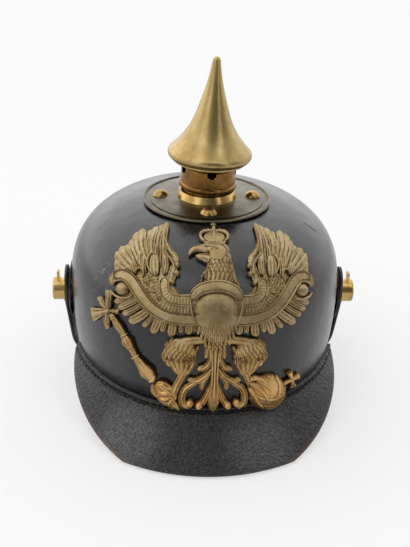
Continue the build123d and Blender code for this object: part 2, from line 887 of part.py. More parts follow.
ribbon_shares = (
    (-0.15, 0.012, 0.062), (-0.32, 0.0, 0.062), (-0.50, 0.045, 0.060), (-0.64, 0.17, 0.058),
    (-0.76, 0.31, 0.055), (-0.90, 0.39, 0.045),
)
neck_shares = ((0.0, 0.12, 0.235), (0.03, 0.32, 0.165), (0.045, 0.46, 0.115), (0.04, 0.58, 0.090))
beak_shares = ((0.0, 0.60, 0.060), (-0.11, 0.62, 0.045), (-0.195, 0.60, 0.028), (-0.215, 0.565, 0.015))
jaw_shares = ((0.0, 0.54, 0.050), (-0.11, 0.555, 0.024))
belly_shares = ((0.0, 0.10, 0.205), (0.0, -0.13, 0.110), (0.0, -0.27, 0.055))
leg_shares = (
    (-0.13, -0.225, 0.055), (-0.44, -0.33, 0.085), (-0.30, -0.52, 0.085), (-0.17, -0.32, 0.075),
    (-0.28, -0.44, 0.11), (-0.40, -0.34, 0.09),
)
foot_shares = ((-0.29, -0.56, 0.050), (-0.345, -0.70, 0.040), (-0.32, -0.86, 0.045))
stem_shares = (
    (0.0, -0.25, 0.060), (0.0, -0.42, 0.065), (0.0, -0.56, 0.035), (0.0, -0.74, 0.050),
    (0.0, -0.86, 0.075), (0.0, -0.935, 0.020),
)
upper_branch_shares = ((-0.03, -0.40, 0.03), (-0.075, -0.47, 0.032), (-0.14, -0.50, 0.024))
lower_branch_shares = (
    (-0.03, -0.53, 0.03), (-0.10, -0.60, 0.032), (-0.17, -0.625, 0.028), (-0.235, -0.59, 0.022),
)
leaf_shares = ((-0.03, -0.55, 0.028), (-0.06, -0.64, 0.030), (-0.08, -0.71, 0.012))
scroll_shares = (
    (-0.13, -0.66, 0.022), (-0.22, -0.71, 0.032), (-0.275, -0.80, 0.036), (-0.26, -0.89, 0.045),
    (-0.18, -0.91, 0.045),
)
volute_shares = ((-0.18, -0.90, 0.045), (-0.10, -0.905, 0.040), (-0.05, -0.80, 0.040))
crown_band_shares = ((-0.07, 0.685, 0.030), (0.10, 0.685, 0.030))
crown_arch_shares = ((-0.07, 0.76, 0.052), (0.015, 0.785, 0.065), (0.10, 0.76, 0.052))
crown_ball_shares = ((0.015, 0.84, 0.026), (0.015, 0.88, 0.018))
staff_shares = (
    (-1.09, 0.06, 0.028), (-0.985, -0.04, 0.052), (-0.93, -0.13, 0.038), (-0.86, -0.24, 0.062),
    (-0.79, -0.35, 0.034), (-0.72, -0.44, 0.036), (-0.64, -0.56, 0.072), (-0.56, -0.665, 0.034),
    (-0.50, -0.73, 0.062), (-0.41, -0.81, 0.088), (-0.32, -0.925, 0.040),
)
finial_shares = ((-1.17, 0.06), (-1.05, 0.20), (-1.11, -0.09), (-0.94, 0.10))
finial_thickness_share = 0.038
orb_place_shares = (0.53, -0.765)
cross_place_shares = (0.79, -0.645)
cross_reach_share = 0.085
cross_thickness_share = 0.030


def feather(root, tip, thickness, inset=0):
    """One wing feather, or the raised rib inside it."""
    return drop(root, root_thickness_share - inset, tip, thickness - inset)


def cross_parts():
    """Small cross that stands on the orb, turned with the orb's lean."""
    x, y = cross_place_shares
    heading = atan2(y - orb_place_shares[1], x - orb_place_shares[0])
    parts = [drop(orb_place_shares, 2 * cross_thickness_share, (x, y), cross_thickness_share)]
    for turn in (0, 90, -90):
        angle = heading + radians(turn)
        end = (x + cross_reach_share * cos(angle), y + cross_reach_share * sin(angle))
        parts.append(drop((x, y), cross_thickness_share, end, 1.2 * cross_thickness_share))
    return parts


def finial_parts():
    """Trefoil head of the sceptre."""
    root = (-1.04, 0.01)
    return [
        drop(root, finial_thickness_share, leaf, 1.2 * finial_thickness_share) for leaf in finial_shares
    ]


def emblem_layers():
    """Flat shapes of the emblem by the height that they reach off the skull."""
    feathers = both_wings([feather(*shares) for shares in feather_shares])
    ribs = both_wings([feather(*shares, inset=rib_inset_share) for shares in feather_shares])
    coverts = both_wings([feather(*shares) for shares in covert_shares])
    arms = both_wings(stroke(arm_shares) + stroke(curl_shares))
    ribbons = both_wings(stroke(ribbon_shares))
    legs = both_wings(stroke(leg_shares) + stroke(foot_shares))
    tail = stroke(stem_shares)
    for side_stroke in (
        upper_branch_shares, lower_branch_shares, leaf_shares, scroll_shares, volute_shares,
    ):
        tail += both_wings(stroke(side_stroke))
    head = stroke(neck_shares) + stroke(beak_shares) + stroke(jaw_shares)
    crown = stroke(crown_band_shares) + stroke(crown_arch_shares) + stroke(crown_ball_shares)
    staff = stroke(staff_shares) + finial_parts()
    body = stroke(belly_shares)
    cross = cross_parts()
    everything = [
        feathers, coverts, arms, ribbons, legs, tail, head, crown, staff, body, cross,
    ]
    sheet = [part for group in everything for part in group]
    return (
        (sheet_height, sheet),
        (feather_height, ribs),
        (arm_height, coverts + arms + crown + tail),
        (ribbon_height, ribbons + legs),
        (head_height, head + staff + cross),
        (body_height, body),
    )


def laid_on_skull(shapes, low, high):
    """Part of a skin of the skull that lies under flat shapes."""
    tilt = radians(eagle_tilt)
    plane = Plane(origin=(0, 0, 0), x_dir=(1, 0, 0), z_dir=(0, -cos(tilt), sin(tilt)))
    drawing = Sketch() + shapes
    prism = extrude(plane * drawing, 2 * half_length)
    return prism & skin(low, high, rim_level, plate_radius - overrun)


def make_orb():
    """Orb in the eagle's right-hand claw: part of a ball that rises from the plate."""
    point, way = skull_front(
        eagle_half_span * orb_place_shares[0], eagle_centre + eagle_half_span * orb_place_shares[1]
    )
    ball = (orb_radius**2 + orb_height**2) / (2 * orb_height)
    orb = Pos(*(point + way * (orb_height - ball))) * Sphere(ball)
    column = Plane(origin=point, z_dir=way) * Cylinder(orb_radius, 4 * orb_height)
    return orb & column


def keep_out():
    """Room for the flange of the visor and for the base plate."""
    root = skull_radius(flange_top)
    reach = root + seat_gap + peak_leather + eagle_clearance
    top = flange_top + eagle_clearance
    flange = make_face(
        Polyline((root / 2, 0), (2 * root, 0), (2 * root, bend_level), (reach, top), (root / 2, top),
                 (root / 2, 0))
    )
    plate = Pos(0, 0, plate_level(plate_radius)) * Cylinder(
        plate_radius + eagle_clearance, 2 * plate_radius
    )
    return oval(turned(flange)), plate


def make_eagle():
    """Single stamping: flat sheet with feathers, arms, ribbon, limbs, head and breast raised in steps."""
    (sheet_top, sheet_shapes), *raised = emblem_layers()
    sheet = laid_on_skull(sheet_shapes, eagle_back, sheet_top)
    inside = (eagle_back + sheet_height) / 2
    layers = [laid_on_skull(shapes, inside, height) for height, shapes in raised]
    orb = make_orb() - skin(-2 * orb_height, eagle_back, rim_level - overrun / 2, plate_radius)
    return sheet + layers + orb - list(keep_out())


def make_plate_loops():
    """Two flat loops on the back of the plate that pass through the skull."""
    loops = []
    for frame in loop_frames():
        top = eagle_back - seat_gap
        length = top + skull_wall + loop_reach
        body = Pos(0, 0, top - length / 2) * Box(loop_width, loop_sheet, length)
        hole_level = -skull_wall - loop_reach / 2
        hole = Pos(0, 0, hole_level) * Box(wedge_side + 2 * hole_gap, overrun, wedge_side + 2 * hole_gap)
        loops.append(frame * (body - hole))
    return loops


def make_plate_wedges():
    """Leather wedges pushed through the loops inside the skull."""
    wedges = []
    for frame in loop_frames():
        level = -skull_wall - loop_reach / 2
        wedges.append(frame * Pos(0, 0, level) * Box(wedge_side, wedge_length, wedge_side))
    return wedges


def build_pieces():
    """Every sub-part of the helmet by its name."""
    visor = make_visor()
    post, cockade, eyelet = make_post(), make_cockade(), make_strap_eyelet()
    buckle = make_buckle()
    pieces = {
        "skull_shell": make_skull(),
        "front_visor": visor,
        "neck_guard": mirror(visor, about=Plane.XZ),
        "liner_tongues": make_liner(),
        "sweatband": make_sweatband(),
        "base_plate": make_base_plate(),
        "base_studs": make_base_studs(),
        "spike_collar": make_collar(),
        "spike_neck": leaned(make_neck()),
        "spike_floor": leaned(make_spike_floor()),
        "spike_cone": leaned(make_cone()),
        "rear_spine": make_spine(),
        "spine_stud": make_spine_stud(),
        "vent_slider": make_vent_slider(),
        "cockade_left": mirror(cockade, about=Plane.YZ),
        "cockade_right": cockade,
        "side_post_left": mirror(post, about=Plane.YZ),
        "side_post_right": post,
        "post_washers": [make_washer(), mirror(make_washer(), about=Plane.YZ)],
        "post_nuts": [make_nut(), mirror(make_nut(), about=Plane.YZ)],
        "chinstrap_left": mirror(make_strap(strap_flat_level, -strap_overlap), about=Plane.YZ),
        "chinstrap_right": make_strap(upper_flat, -strap_overlap),
        "strap_eyelets": [eyelet, mirror(eyelet, about=Plane.YZ)],
        "buckle_left": mirror(buckle, about=Plane.YZ),
        "buckle_right": buckle,
        "eagle_plate": make_eagle(),
        "plate_loops": make_plate_loops(),
        "plate_wedges": make_plate_wedges(),
    }
    return pieces


def main():
    """Write one file for each sub-part."""
    os.makedirs("parts", exist_ok=True)
    for name, piece in build_pieces().items():
        body = Compound(piece) if isinstance(piece, list) else piece
        export_step(body, os.path.join("parts", name + ".step"))


main()
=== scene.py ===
"""Looks of a spiked leather parade helmet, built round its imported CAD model.

The front looks along -Y. Lengths are in metres, and a size given in millimetres is multiplied by mm.
"""

import math

import bmesh
import bpy
import numpy as np
from mathutils import Matrix, Vector


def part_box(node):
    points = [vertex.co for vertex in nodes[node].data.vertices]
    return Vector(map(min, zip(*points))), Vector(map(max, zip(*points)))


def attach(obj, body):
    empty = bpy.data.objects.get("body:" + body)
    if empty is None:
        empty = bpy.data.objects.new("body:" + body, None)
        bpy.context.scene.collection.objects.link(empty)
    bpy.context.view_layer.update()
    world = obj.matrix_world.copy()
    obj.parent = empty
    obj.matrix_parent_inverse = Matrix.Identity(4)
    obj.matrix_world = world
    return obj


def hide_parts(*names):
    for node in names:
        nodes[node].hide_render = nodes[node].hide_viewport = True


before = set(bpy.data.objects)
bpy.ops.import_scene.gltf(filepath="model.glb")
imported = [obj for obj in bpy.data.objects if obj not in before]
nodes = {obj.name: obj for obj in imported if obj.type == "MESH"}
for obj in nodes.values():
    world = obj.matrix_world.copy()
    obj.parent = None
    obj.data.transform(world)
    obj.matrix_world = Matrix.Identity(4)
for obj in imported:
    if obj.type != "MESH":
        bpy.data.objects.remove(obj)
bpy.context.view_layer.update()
mm = 0.001

# Camera, fitted to the photo's disc, posts, crown and visor
camera_place = (-28.85 * mm, -549.15 * mm, 344.39 * mm)
camera_turn = -3.06
camera_pitch = 26.67
camera_roll = 1.815
focal_pixels = 900
image_width = 410
sensor_width = 36

# Room left round metal and round soft leather
metal_gap, soft_gap = 0.05 * mm, 0.3 * mm

# Skull: an oval in plan under a flattened dome, as in the CAD part
skull_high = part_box("skull_shell")[1]
half_width, half_length = skull_high.x, skull_high.y
length_ratio = half_length / half_width
rim_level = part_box("skull_shell")[0].z
widest_level = 64.1 * mm
crown_rise = 61.0 * mm
rim_tuck = 3.1 * mm
crown_power = 3.0
side_power = 2.6

# Visor and neck guard: where their sloping cut meets the table, and their seam
peak_reach = -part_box("front_visor")[0].y
peak_cut_reach = 0.945 * peak_reach
peak_corner = 26 * mm
peak_corner_level = 25.9 * mm
peak_cut_slope = peak_corner_level / (peak_cut_reach - peak_corner)
peak_slope = math.radians(43.5)
peak_leather = 2.4 * mm
bend_level = 25.4 * mm
fold_length = 3 * mm
fold_lift = 0.57
bend_radius = half_width - rim_tuck + metal_gap
seam_place = 1.5 * mm
stitch_length = 3.0 * mm
stitch_pitch = 4.3 * mm
thread_width = 0.9 * mm
seam_level = bend_level - seam_place * math.sin(peak_slope) + peak_leather * math.cos(peak_slope)
peak_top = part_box("front_visor")[1].z

# Side posts, cockades and strap
post_level = 56.3 * mm
cockade_radius = 19.5 * mm
cockade_bore = 2.8 * mm
cockade_face = half_width + 2.4 * mm
cockade_dish = 1.7 * mm
cockade_sheet = 0.8 * mm
cockade_rows = 14
pleats = 60
pleat_depth = 0.18 * mm
pleat_start, pleat_end = 7 * mm, 17 * mm
ring_blur = 0.2 * mm
strap_back = cockade_face + soft_gap
strap_leather = 2.1 * mm
strap_half = 10 * mm
strap_top = post_level + 17 * mm
strap_lean = math.radians(7.9)
strap_lean_start = 50 * mm
strap_bend = 23 * mm
strap_bend_rows = 13
strap_rows, strap_columns = 150, 48
strap_levels = {"left": 4.4 * mm, "right": 6.8 * mm}
strap_end = 40 * mm
strap_crease = 1.4 * mm
strap_crease_depth = 0.3 * mm
strap_crease_width = 0.45 * mm
strap_edge = 0.8 * mm
strap_tip = 0.3 * mm
weld = 0.002 * mm
strap_bore = 3.4 * mm
cockade_rings = {
    "left": ((0, "#7c2a22"), (6.5 * mm, "#c9c2b2"), (12 * mm, "#141414")),
    "right": ((0, "#141414"), (6.5 * mm, "#c9c2b2"), (12 * mm, "#141414")),
}

# Lining: soft leather slit into tongues, and the sweatband in front of its foot
skull_leather = 2.5 * mm
liner_foot, liner_top = 30 * mm, 106 * mm
liner_waist, liner_crown = 76 * mm, 58 * mm
liner_upward, liner_inward = 38 * mm, 28 * mm
liner_sheet = 1.2 * mm
liner_rows = 30
tongues = 12
tongue_columns = 8
tongue_root = 70 * mm
slit_root = 0.1 * mm
slit_foot, slit_head = 1.5 * mm, 6.5 * mm
tongue_curl = 1.6 * mm
tongue_waver = 0.4
waver_step, waver_turn = 5, 3
eyelet_level = 99 * mm
eyelet_radius = 2.1 * mm
eyelet_weld = 0.02 * mm
sweatband_sheet = 1.5 * mm
sweatband_top = 62 * mm
sweatband_seam = 33.5 * mm
sweatband_edge = 0.6 * mm
sweatband_round = 0.5 * mm
sweatband_rows, sweatband_columns = 10, 120

# Marks of age on the lacquer: a crack, from end to end, and the middle of a scraped patch
crack_ends = ((60.6 * mm, -19 * mm, 115.6 * mm), (70.6 * mm, -21 * mm, 109.6 * mm))
crack_bend = 5 * mm
crack_wander = 4 * mm
crack_reach, crack_core = 0.75 * mm, 0.35 * mm
crack_fade = 3 * mm
scrape_place = (-62 * mm, -63 * mm, 98 * mm)
scrape_reach, scrape_core = 20 * mm, 6 * mm
scratch_lean = (0.3, 0.2, 0.4)
scratch_stretch = (1, 1, 0.07)

# Marks on the visor and the guard: shine left by fingers, groove of the seam with painted shade in it, brown
# raw edge and rubbed bend with a painted highlight along it
grip_places = ((-48 * mm, -106 * mm, 12 * mm), (31 * mm, -116 * mm, 12 * mm))
grip_reach, grip_core = 31 * mm, 8 * mm
groove_reach, groove_core = 0.9 * mm, 0.2 * mm
edge_reach, edge_core = 1.3 * mm, 0.2 * mm
edge_lift = 1.1 * mm
# Between these levels the rubbed top of the fold also carries a painted highlight, a lighter line
rub_highlight_start, rub_highlight_full = peak_top - 0.7 * mm, peak_top - 0.1 * mm

# Textures: the width of one mark of each pattern, on lacquer, visor, brass, eagle, leather, enamel and thread
grain_width = 0.9 * mm
dent_width = 14 * mm
craze_width = 2.6 * mm
craze_patch = 14 * mm
scratch_width = 0.9 * mm
scuff_width = 26 * mm
chip_width = 3 * mm
pebble_width = 1.5 * mm
crease_width = 5 * mm
mottle_width = 1.8 * mm
tarnish_width = 9 * mm
spot_width = 1.5 * mm
rubbing_width = 2 * mm
rubbing_rows = 6
cloud_width, stain_width, speck_width = 8 * mm, 3.2 * mm, 1.3 * mm
golden_level, olive_level = 42 * mm, 88 * mm
patch_width, wrinkle_width = 16 * mm, 1.8 * mm
enamel_chip = 2.5 * mm
twist_width = 0.5 * mm

# What a Bump node's Normal holds with nothing linked, which stands for the surface's own normal
own_normal = (0, 0, 0)

# Emblem: drawn flat in a plane that leans back, in mm, then laid on the skull. A form has a least half width
# along it and at its ends, and its rows crowd towards its tip
emblem_tilt = math.radians(28)
emblem_shift = 1.2
emblem_foot = -0.1
halvings = 36
bead_back = -0.15
form_width, form_point = 0.15, 0.04
tip_crowding = 1.5
roundness = 0.96
sharp_angle = math.radians(55)

# Stamped surface, as shares of a form: where its grooves fade, cords with gutters, marks, and what is rubbed
# and lit, which paints highlight on high parts and shade in grooves, gutters and at edges
# The groove and gutter shares below include how much painted shade darkens the grooves of feathers and the
# gutters of ribbons
groove_end, groove_fade, least_groove, groove_shade = 1.02, 0.3, 0.2, 0.75
cord_place, cord_width, cord_shine = 0.86, 0.08, 0.5
gutter_place, gutter_width, gutter_depth, gutter_shade = 0.68, 0.09, 0.25, 0.6
mark_rise, mark_reach = 0.1, 0.55
crown_rub_and_light, feather_rub_and_light, ribbon_rub_and_light, bar_rub_and_light, least_rub_and_light = 0.15, 0.3, 0.75, 0.35, 0.1
bar_shine = 0.4

# Small feathers: steps along the form they cover, and shares of their pitch or of the form
plume_steps = 59
plume_spread = 0.92
plume_fan = 0.35
plume_length = 1.5
plume_half = 0.42
plume_sink = 0.2
plume_root, plume_tip = 0.7, 0.8

# Studio: where the surroundings' dim front ends and their bright back starts, how bright they are there, more
# to the left and as seen, and the windows by name, place in plan, width and power
front_end, back_start = -0.6, 0.4
front_light = 0.26
back_light = 1.78
left_light = 0.42
seen_light = 0.93
window_height = 1.8
window_aim = (0, 0, 90 * mm)
windows = (("left_window", (-0.61, -0.68), 0.56, 3.9), ("right_window", (0.66, -0.62), 0.28, 2.8))
floor_radius = 6
paper_glow = 0.59


def turned_linear(value):
    """Linear value of one sRGB channel."""
    return value / 12.92 if value <= 0.04045 else ((value + 0.055) / 1.055) ** 2.4


def paint(code):
    """Linear colour of an sRGB hex code."""
    return (*(turned_linear(int(code[i : i + 2], 16) / 255) for i in (1, 3, 5)), 1.0)


def put(tree, kind, sockets=None, out=0, **settings):
    """Adds a shader node with its settings and links, and gives back one of its outputs."""
    node = tree.nodes.new("ShaderNode" + kind)
    for name, value in settings.items():
        setattr(node, name, value)
    for key, value in (sockets or {}).items():
        if isinstance(value, bpy.types.NodeSocket):
            tree.links.new(value, node.inputs[key])
        else:
            node.inputs[key].default_value = value
    return node.outputs[out]


def new_finish(name):
    """Material with its tree, and the place of each point in the helmet's own frame."""
    material = bpy.data.materials.new(name)
    material.use_nodes = True
    tree = material.node_tree
    return material, tree, put(tree, "TexCoord", out="Object")


def finish_with(material, sockets):
    """Sets and links the sockets of a material's shader."""
    shader = material.node_tree.nodes["Principled BSDF"]
    for key, value in sockets.items():
        if isinstance(value, bpy.types.NodeSocket):
            material.node_tree.links.new(value, shader.inputs[key])
        else:
            shader.inputs[key].default_value = value
    return material


def layered(tree, colour, paints, reliefs):
    """Colour and relief of a finish: paints by share and code over a first colour, reliefs by depth in mm.

    A relief of negative depth is sunk into the surface.
    """
    for share, code in paints:
        colour = put(tree, "Mix", {0: share, 6: colour, 7: paint(code)}, 2, data_type="RGBA")
    relief = own_normal
    for height, depth in reliefs:
        sockets = {"Height": height, "Distance": abs(depth) * mm, "Normal": relief}
        relief = put(tree, "Bump", sockets, invert=depth < 0)
    return colour, relief


# Finishes

def lacquered_cowhide():
    """Boiled cowhide under black lacquer: deep gloss, broken up by fine crazing, dents and rubbed patches."""
    material, tree, place = new_finish("lacquered_cowhide")
    grain, dents, where, scuffs, chips = (
        put(tree, "TexNoise", {"Vector": place, "Scale": 1 / width, "Detail": detail, "Roughness": rough})
        for width, detail, rough in (
            (grain_width, 5, 0.6), (dent_width, 3, 0.5), (craze_patch, 4, 0.5), (scuff_width, 6, 0.7),
            (chip_width, 5, 0.7),
        )
    )
    cells = put(tree, "TexVoronoi", {"Vector": place, "Scale": 1 / craze_width}, feature="DISTANCE_TO_EDGE")
    lines = put(tree, "MapRange", {0: cells, 1: 0, 2: 0.07})
    where = put(tree, "MapRange", {0: where, 1: 0.46, 2: 0.6})
    crazing = put(tree, "Mix", {0: where, 2: 1.0, 3: lines}, data_type="FLOAT")
    drawn_out = put(tree, "Mapping", {"Vector": place, "Rotation": scratch_lean, "Scale": scratch_stretch})
    scratch = put(tree, "TexNoise", {"Vector": drawn_out, "Scale": 1 / scratch_width, "Detail": 2})
    scratch = put(tree, "MapRange", {0: scratch, 1: 0.66, 2: 0.71})
    scuffs = put(tree, "MapRange", {0: scuffs, 1: 0.5, 2: 0.66})
    to_scrape = put(tree, "VectorMath", {0: place, 1: scrape_place}, "Value", operation="DISTANCE")
    scraped = put(tree, "MapRange", {0: to_scrape, 1: scrape_reach, 2: scrape_core})
    worn = put(tree, "Math", {0: scuffs, 1: scraped}, operation="MAXIMUM")
    scratch = put(tree, "Math", {0: scratch, 1: worn}, operation="MULTIPLY")
    chipped = put(tree, "MapRange", {0: chips, 1: 0.6, 2: 0.64})
    chipped = put(tree, "Math", {0: chipped, 1: scraped}, operation="MULTIPLY")
    bent = put(tree, "TexNoise", {"Vector": place, "Scale": 1 / crack_bend}, 1)
    bent = put(tree, "VectorMath", {0: bent, 1: (crack_wander,) * 3, 2: place}, operation="MULTIPLY_ADD")
    start, end = (Vector(corner) + Vector((crack_wander / 2,) * 3) for corner in crack_ends)
    way = (end - start).normalized()
    half = (end - start).length / 2
    from_start = put(tree, "VectorMath", {0: bent, 1: start}, operation="SUBTRACT")
    gone = put(tree, "VectorMath", {0: from_start, 1: way}, "Value", operation="DOT_PRODUCT")
    off_line = put(tree, "VectorMath", {0: from_start, 1: way}, operation="CROSS_PRODUCT")
    off_line = put(tree, "VectorMath", {0: off_line}, "Value", operation="LENGTH")
    past = put(tree, "Math", {0: gone, 1: half}, operation="SUBTRACT")
    past = put(tree, "Math", {0: past}, operation="ABSOLUTE")
    within = put(tree, "MapRange", {0: past, 1: half, 2: half - crack_fade})
    cracked = put(tree, "MapRange", {0: off_line, 1: crack_reach, 2: crack_core})
    cracked = put(tree, "Math", {0: cracked, 1: within}, operation="MULTIPLY")
    colour, relief = layered(
        tree, paint("#08080b"), ((scuffs, "#111114"), (scratch, "#6e6962"), (chipped, "#5c5750")),
        ((dents, 0.5), (crazing, 0.05), (grain, 0.06), (cracked, -0.6)),
    )
    shine = put(tree, "MapRange", {0: grain, 1: 0.3, 2: 0.7, 3: 0.17, 4: 0.27})
    shine = put(tree, "Math", {0: shine, 1: cracked}, operation="MAXIMUM")
    return finish_with(material, {"Base Color": colour, "Roughness": shine, "Normal": relief})


def pebbled_cowhide(name, below):
    """Cowhide pressed with pebbles, painted below: a broken satin shine, rubbed brown along its raw edge."""
    material, tree, place = new_finish(name)
    pebbles = put(tree, "TexVoronoi", {"Vector": place, "Scale": 1 / pebble_width}, feature="SMOOTH_F1")
    fine, creases, mottle = (
        put(tree, "TexNoise", {"Vector": place, "Scale": 1 / width, "Detail": detail, "Roughness": rough})
        for width, detail, rough in ((grain_width, 6, 0.7), (crease_width, 6, 0.65), (mottle_width, 4, 0.6))
    )
    parts = put(tree, "SeparateXYZ", {0: place}, "Y").node.outputs
    seam = put(tree, "Math", {0: parts["Z"], 1: seam_level}, operation="SUBTRACT")
    seam = put(tree, "Math", {0: seam}, operation="ABSOLUTE")
    seam = put(tree, "MapRange", {0: seam, 1: groove_reach, 2: groove_core})
    # The top of the fold: worn, and lightened as a painted highlight
    rubbed_and_lit = put(tree, "MapRange", {0: parts["Z"], 1: rub_highlight_start, 2: rub_highlight_full})
    worn = put(tree, "MapRange", {0: creases, 1: 0.5, 2: 0.7})
    # Painted shade: the seam's groove is painted near black on top of its sunk bump
    groove = put(tree, "MapRange", {0: seam, 3: 0, 4: 0.5})
    flecks = put(tree, "MapRange", {0: fine, 1: 0.62, 2: 0.72, 3: 0, 4: 0.4})
    reach = put(tree, "Math", {0: parts["Y"]}, operation="ABSOLUTE")
    cut = {0: reach, 1: peak_cut_slope, 2: -peak_cut_reach * peak_cut_slope}
    level = put(tree, "Math", cut, operation="MULTIPLY_ADD")
    above_cut = put(tree, "Math", {0: parts["Z"], 1: level}, operation="ADD")
    above_foot = put(tree, "Math", {0: parts["Z"], 1: edge_lift}, operation="SUBTRACT")
    above = put(tree, "Math", {0: above_cut, 1: above_foot}, operation="MINIMUM")
    edge = put(tree, "MapRange", {0: above, 1: edge_reach, 2: edge_core})
    ragged = put(tree, "MapRange", {0: fine, 1: 0.3, 2: 0.6})
    edge, rubbed_and_lit = (
        put(tree, "Math", {0: share, 1: ragged}, operation="MULTIPLY") for share in (edge, rubbed_and_lit)
    )
    plan = put(tree, "VectorMath", {0: place, 1: (1, 1, 0)}, operation="MULTIPLY")
    normal = put(tree, "NewGeometry", out="Normal")
    facing = put(tree, "VectorMath", {0: normal, 1: plan}, "Value", operation="DOT_PRODUCT")
    under = put(tree, "MapRange", {0: facing, 1: 0, 2: -0.01})
    paints = (
        (worn, "#121214"), (groove, "#060606"), (flecks, "#77746f"), (edge, "#5b3a27"), (rubbed_and_lit, "#65615b"),
        (under, below),
    )
    reliefs = ((creases, 0.8), (pebbles, 0.6), (fine, 0.4), (seam, -0.5))
    colour, relief = layered(tree, paint("#08080a"), paints, reliefs)
    shine = put(tree, "MapRange", {0: fine, 1: 0.3, 2: 0.7, 3: 0.38, 4: 0.2})
    gripped = 0.0
    for spot in grip_places:
        apart = put(tree, "VectorMath", {0: place, 1: spot}, "Value", operation="DISTANCE")
        near = put(tree, "MapRange", {0: apart, 1: grip_reach, 2: grip_core}, interpolation_type="SMOOTHSTEP")
        gripped = put(tree, "Math", {0: gripped, 1: near}, operation="MAXIMUM")
    mottle = put(tree, "MapRange", {0: mottle, 1: 0.36, 2: 0.66, 3: 0.72, 4: 1.28})
    polish = put(tree, "MapRange", {0: gripped, 3: 0.42, 4: 0.85})
    polish = put(tree, "Math", {0: polish, 1: mottle}, operation="MULTIPLY")
    sockets = {"Base Color": colour, "Roughness": shine, "Normal": relief, "Specular IOR Level": polish}
    return finish_with(material, sockets)


def sheet_brass(name, bright, dull, deep, gloss, streak=1.0, spotting=0.5):
    """Spun sheet brass left to tarnish: a warm metal with olive and brown clouds and fine rubbing marks."""
    material, tree, place = new_finish(name)
    drawn_out, turned = (
        put(tree, "Mapping", {"Vector": place, "Scale": (1, 1, rise)}) for rise in (1 / streak, rubbing_rows)
    )
    clouds, specks, rubbing = (
        put(tree, "TexNoise", {"Vector": way, "Scale": 1 / width, "Detail": detail, "Roughness": rough})
        for way, width, detail, rough in (
            (drawn_out, tarnish_width, 7, 0.65), (place, spot_width, 5, 0.6), (turned, rubbing_width, 4, 0.5),
        )
    )
    tarnish = put(tree, "MapRange", {0: clouds, 1: 0.35, 2: 0.65})
    spots = put(tree, "MapRange", {0: specks, 1: 0.56, 2: 0.74, 3: 0, 4: spotting})
    shine = put(tree, "MapRange", {0: clouds, 1: 0.3, 2: 0.7, 3: gloss, 4: gloss + 0.1})
    colour, relief = layered(
        tree, paint(bright), ((tarnish, dull), (spots, deep)), ((clouds, 0.05), (rubbing, 0.02))
    )
    sockets = {"Base Color": colour, "Roughness": shine, "Normal": relief, "Metallic": 1.0}
    return finish_with(material, sockets)


def stamped_brass():
    """Stamped sheet brass: golden where it is rubbed and given a painted highlight on its high parts, olive
    towards its top, brown with painted shade in its hollows.
    """
    material, tree, place = new_finish("stamped_sheet_brass")
    # rise holds a painted highlight on high parts and painted shade in hollows, on walls and at edges, mixed
    # with how rubbed the brass is
    rise = put(tree, "Attribute", out="Fac", attribute_name="rise")
    clouds, specks, stains = (
        put(tree, "TexNoise", {"Vector": place, "Scale": 1 / width, "Detail": detail, "Roughness": rough})
        for width, detail, rough in ((cloud_width, 6, 0.65), (speck_width, 6, 0.7), (stain_width, 5, 0.7))
    )
    ragged = put(tree, "MapRange", {0: specks, 1: 0.25, 2: 0.75, 3: -0.45, 4: 0.35})
    rubbed_and_lit = put(tree, "Math", {0: rise, 1: ragged}, operation="ADD")
    level = put(tree, "SeparateXYZ", {0: place}, "Z")
    higher = put(tree, "MapRange", {0: level, 1: golden_level, 2: olive_level})
    patch = put(tree, "MapRange", {0: clouds, 1: 0.4, 2: 0.6})
    golden, olive, low = (
        put(tree, "Mix", {0: patch, 6: paint(code), 7: paint(other)}, 2, data_type="RGBA")
        for code, other in (("#d2ae74", "#bd9256"), ("#9f8d69", "#8a7652"), ("#33271a", "#4a3019"))
    )
    high = put(tree, "Mix", {0: higher, 6: golden, 7: olive}, 2, data_type="RGBA")
    stained = put(tree, "MapRange", {0: stains, 1: 0.55, 2: 0.68, 3: 0, 4: 0.55})
    high = put(tree, "Mix", {0: stained, 6: high, 7: paint("#8a5a30")}, 2, data_type="RGBA")
    # Painted highlight and shade: dark brown where rise is low, golden where it is high
    share = put(tree, "MapRange", {0: rubbed_and_lit, 1: 0.0, 2: 0.58})
    colour = put(tree, "Mix", {0: share, 6: low, 7: high}, 2, data_type="RGBA")
    shine = put(tree, "MapRange", {0: rubbed_and_lit, 1: 0.2, 2: 0.95, 3: 0.55, 4: 0.32})
    colour, relief = layered(tree, colour, (), ((stains, 0.25), (specks, 0.22)))
    sockets = {"Base Color": colour, "Roughness": shine, "Normal": relief, "Metallic": 0.95}
    return finish_with(material, sockets)


def tanned_leather(name, face, handled, shine):
    """Vegetable-tanned leather: fine grain, darker where it has been handled."""
    material, tree, place = new_finish(name)
    grain, patches = (
        put(tree, "TexNoise", {"Vector": place, "Scale": 1 / width, "Detail": 6, "Roughness": rough})
        for width, rough in ((grain_width, 0.7), (patch_width, 0.6))
    )
    cells = put(tree, "TexVoronoi", {"Vector": place, "Scale": 1 / wrinkle_width}, feature="DISTANCE_TO_EDGE")
    folds = put(tree, "MapRange", {0: cells, 1: 0, 2: 0.12})
    share = put(tree, "MapRange", {0: patches, 1: 0.35, 2: 0.65})
    colour, relief = layered(tree, paint(face), [(share, handled)], ((folds, 0.06), (grain, 0.12)))
    rough = put(tree, "MapRange", {0: grain, 1: 0.3, 2: 0.7, 3: shine, 4: shine + 0.15})
    return finish_with(material, {"Base Color": colour, "Roughness": rough, "Normal": relief})


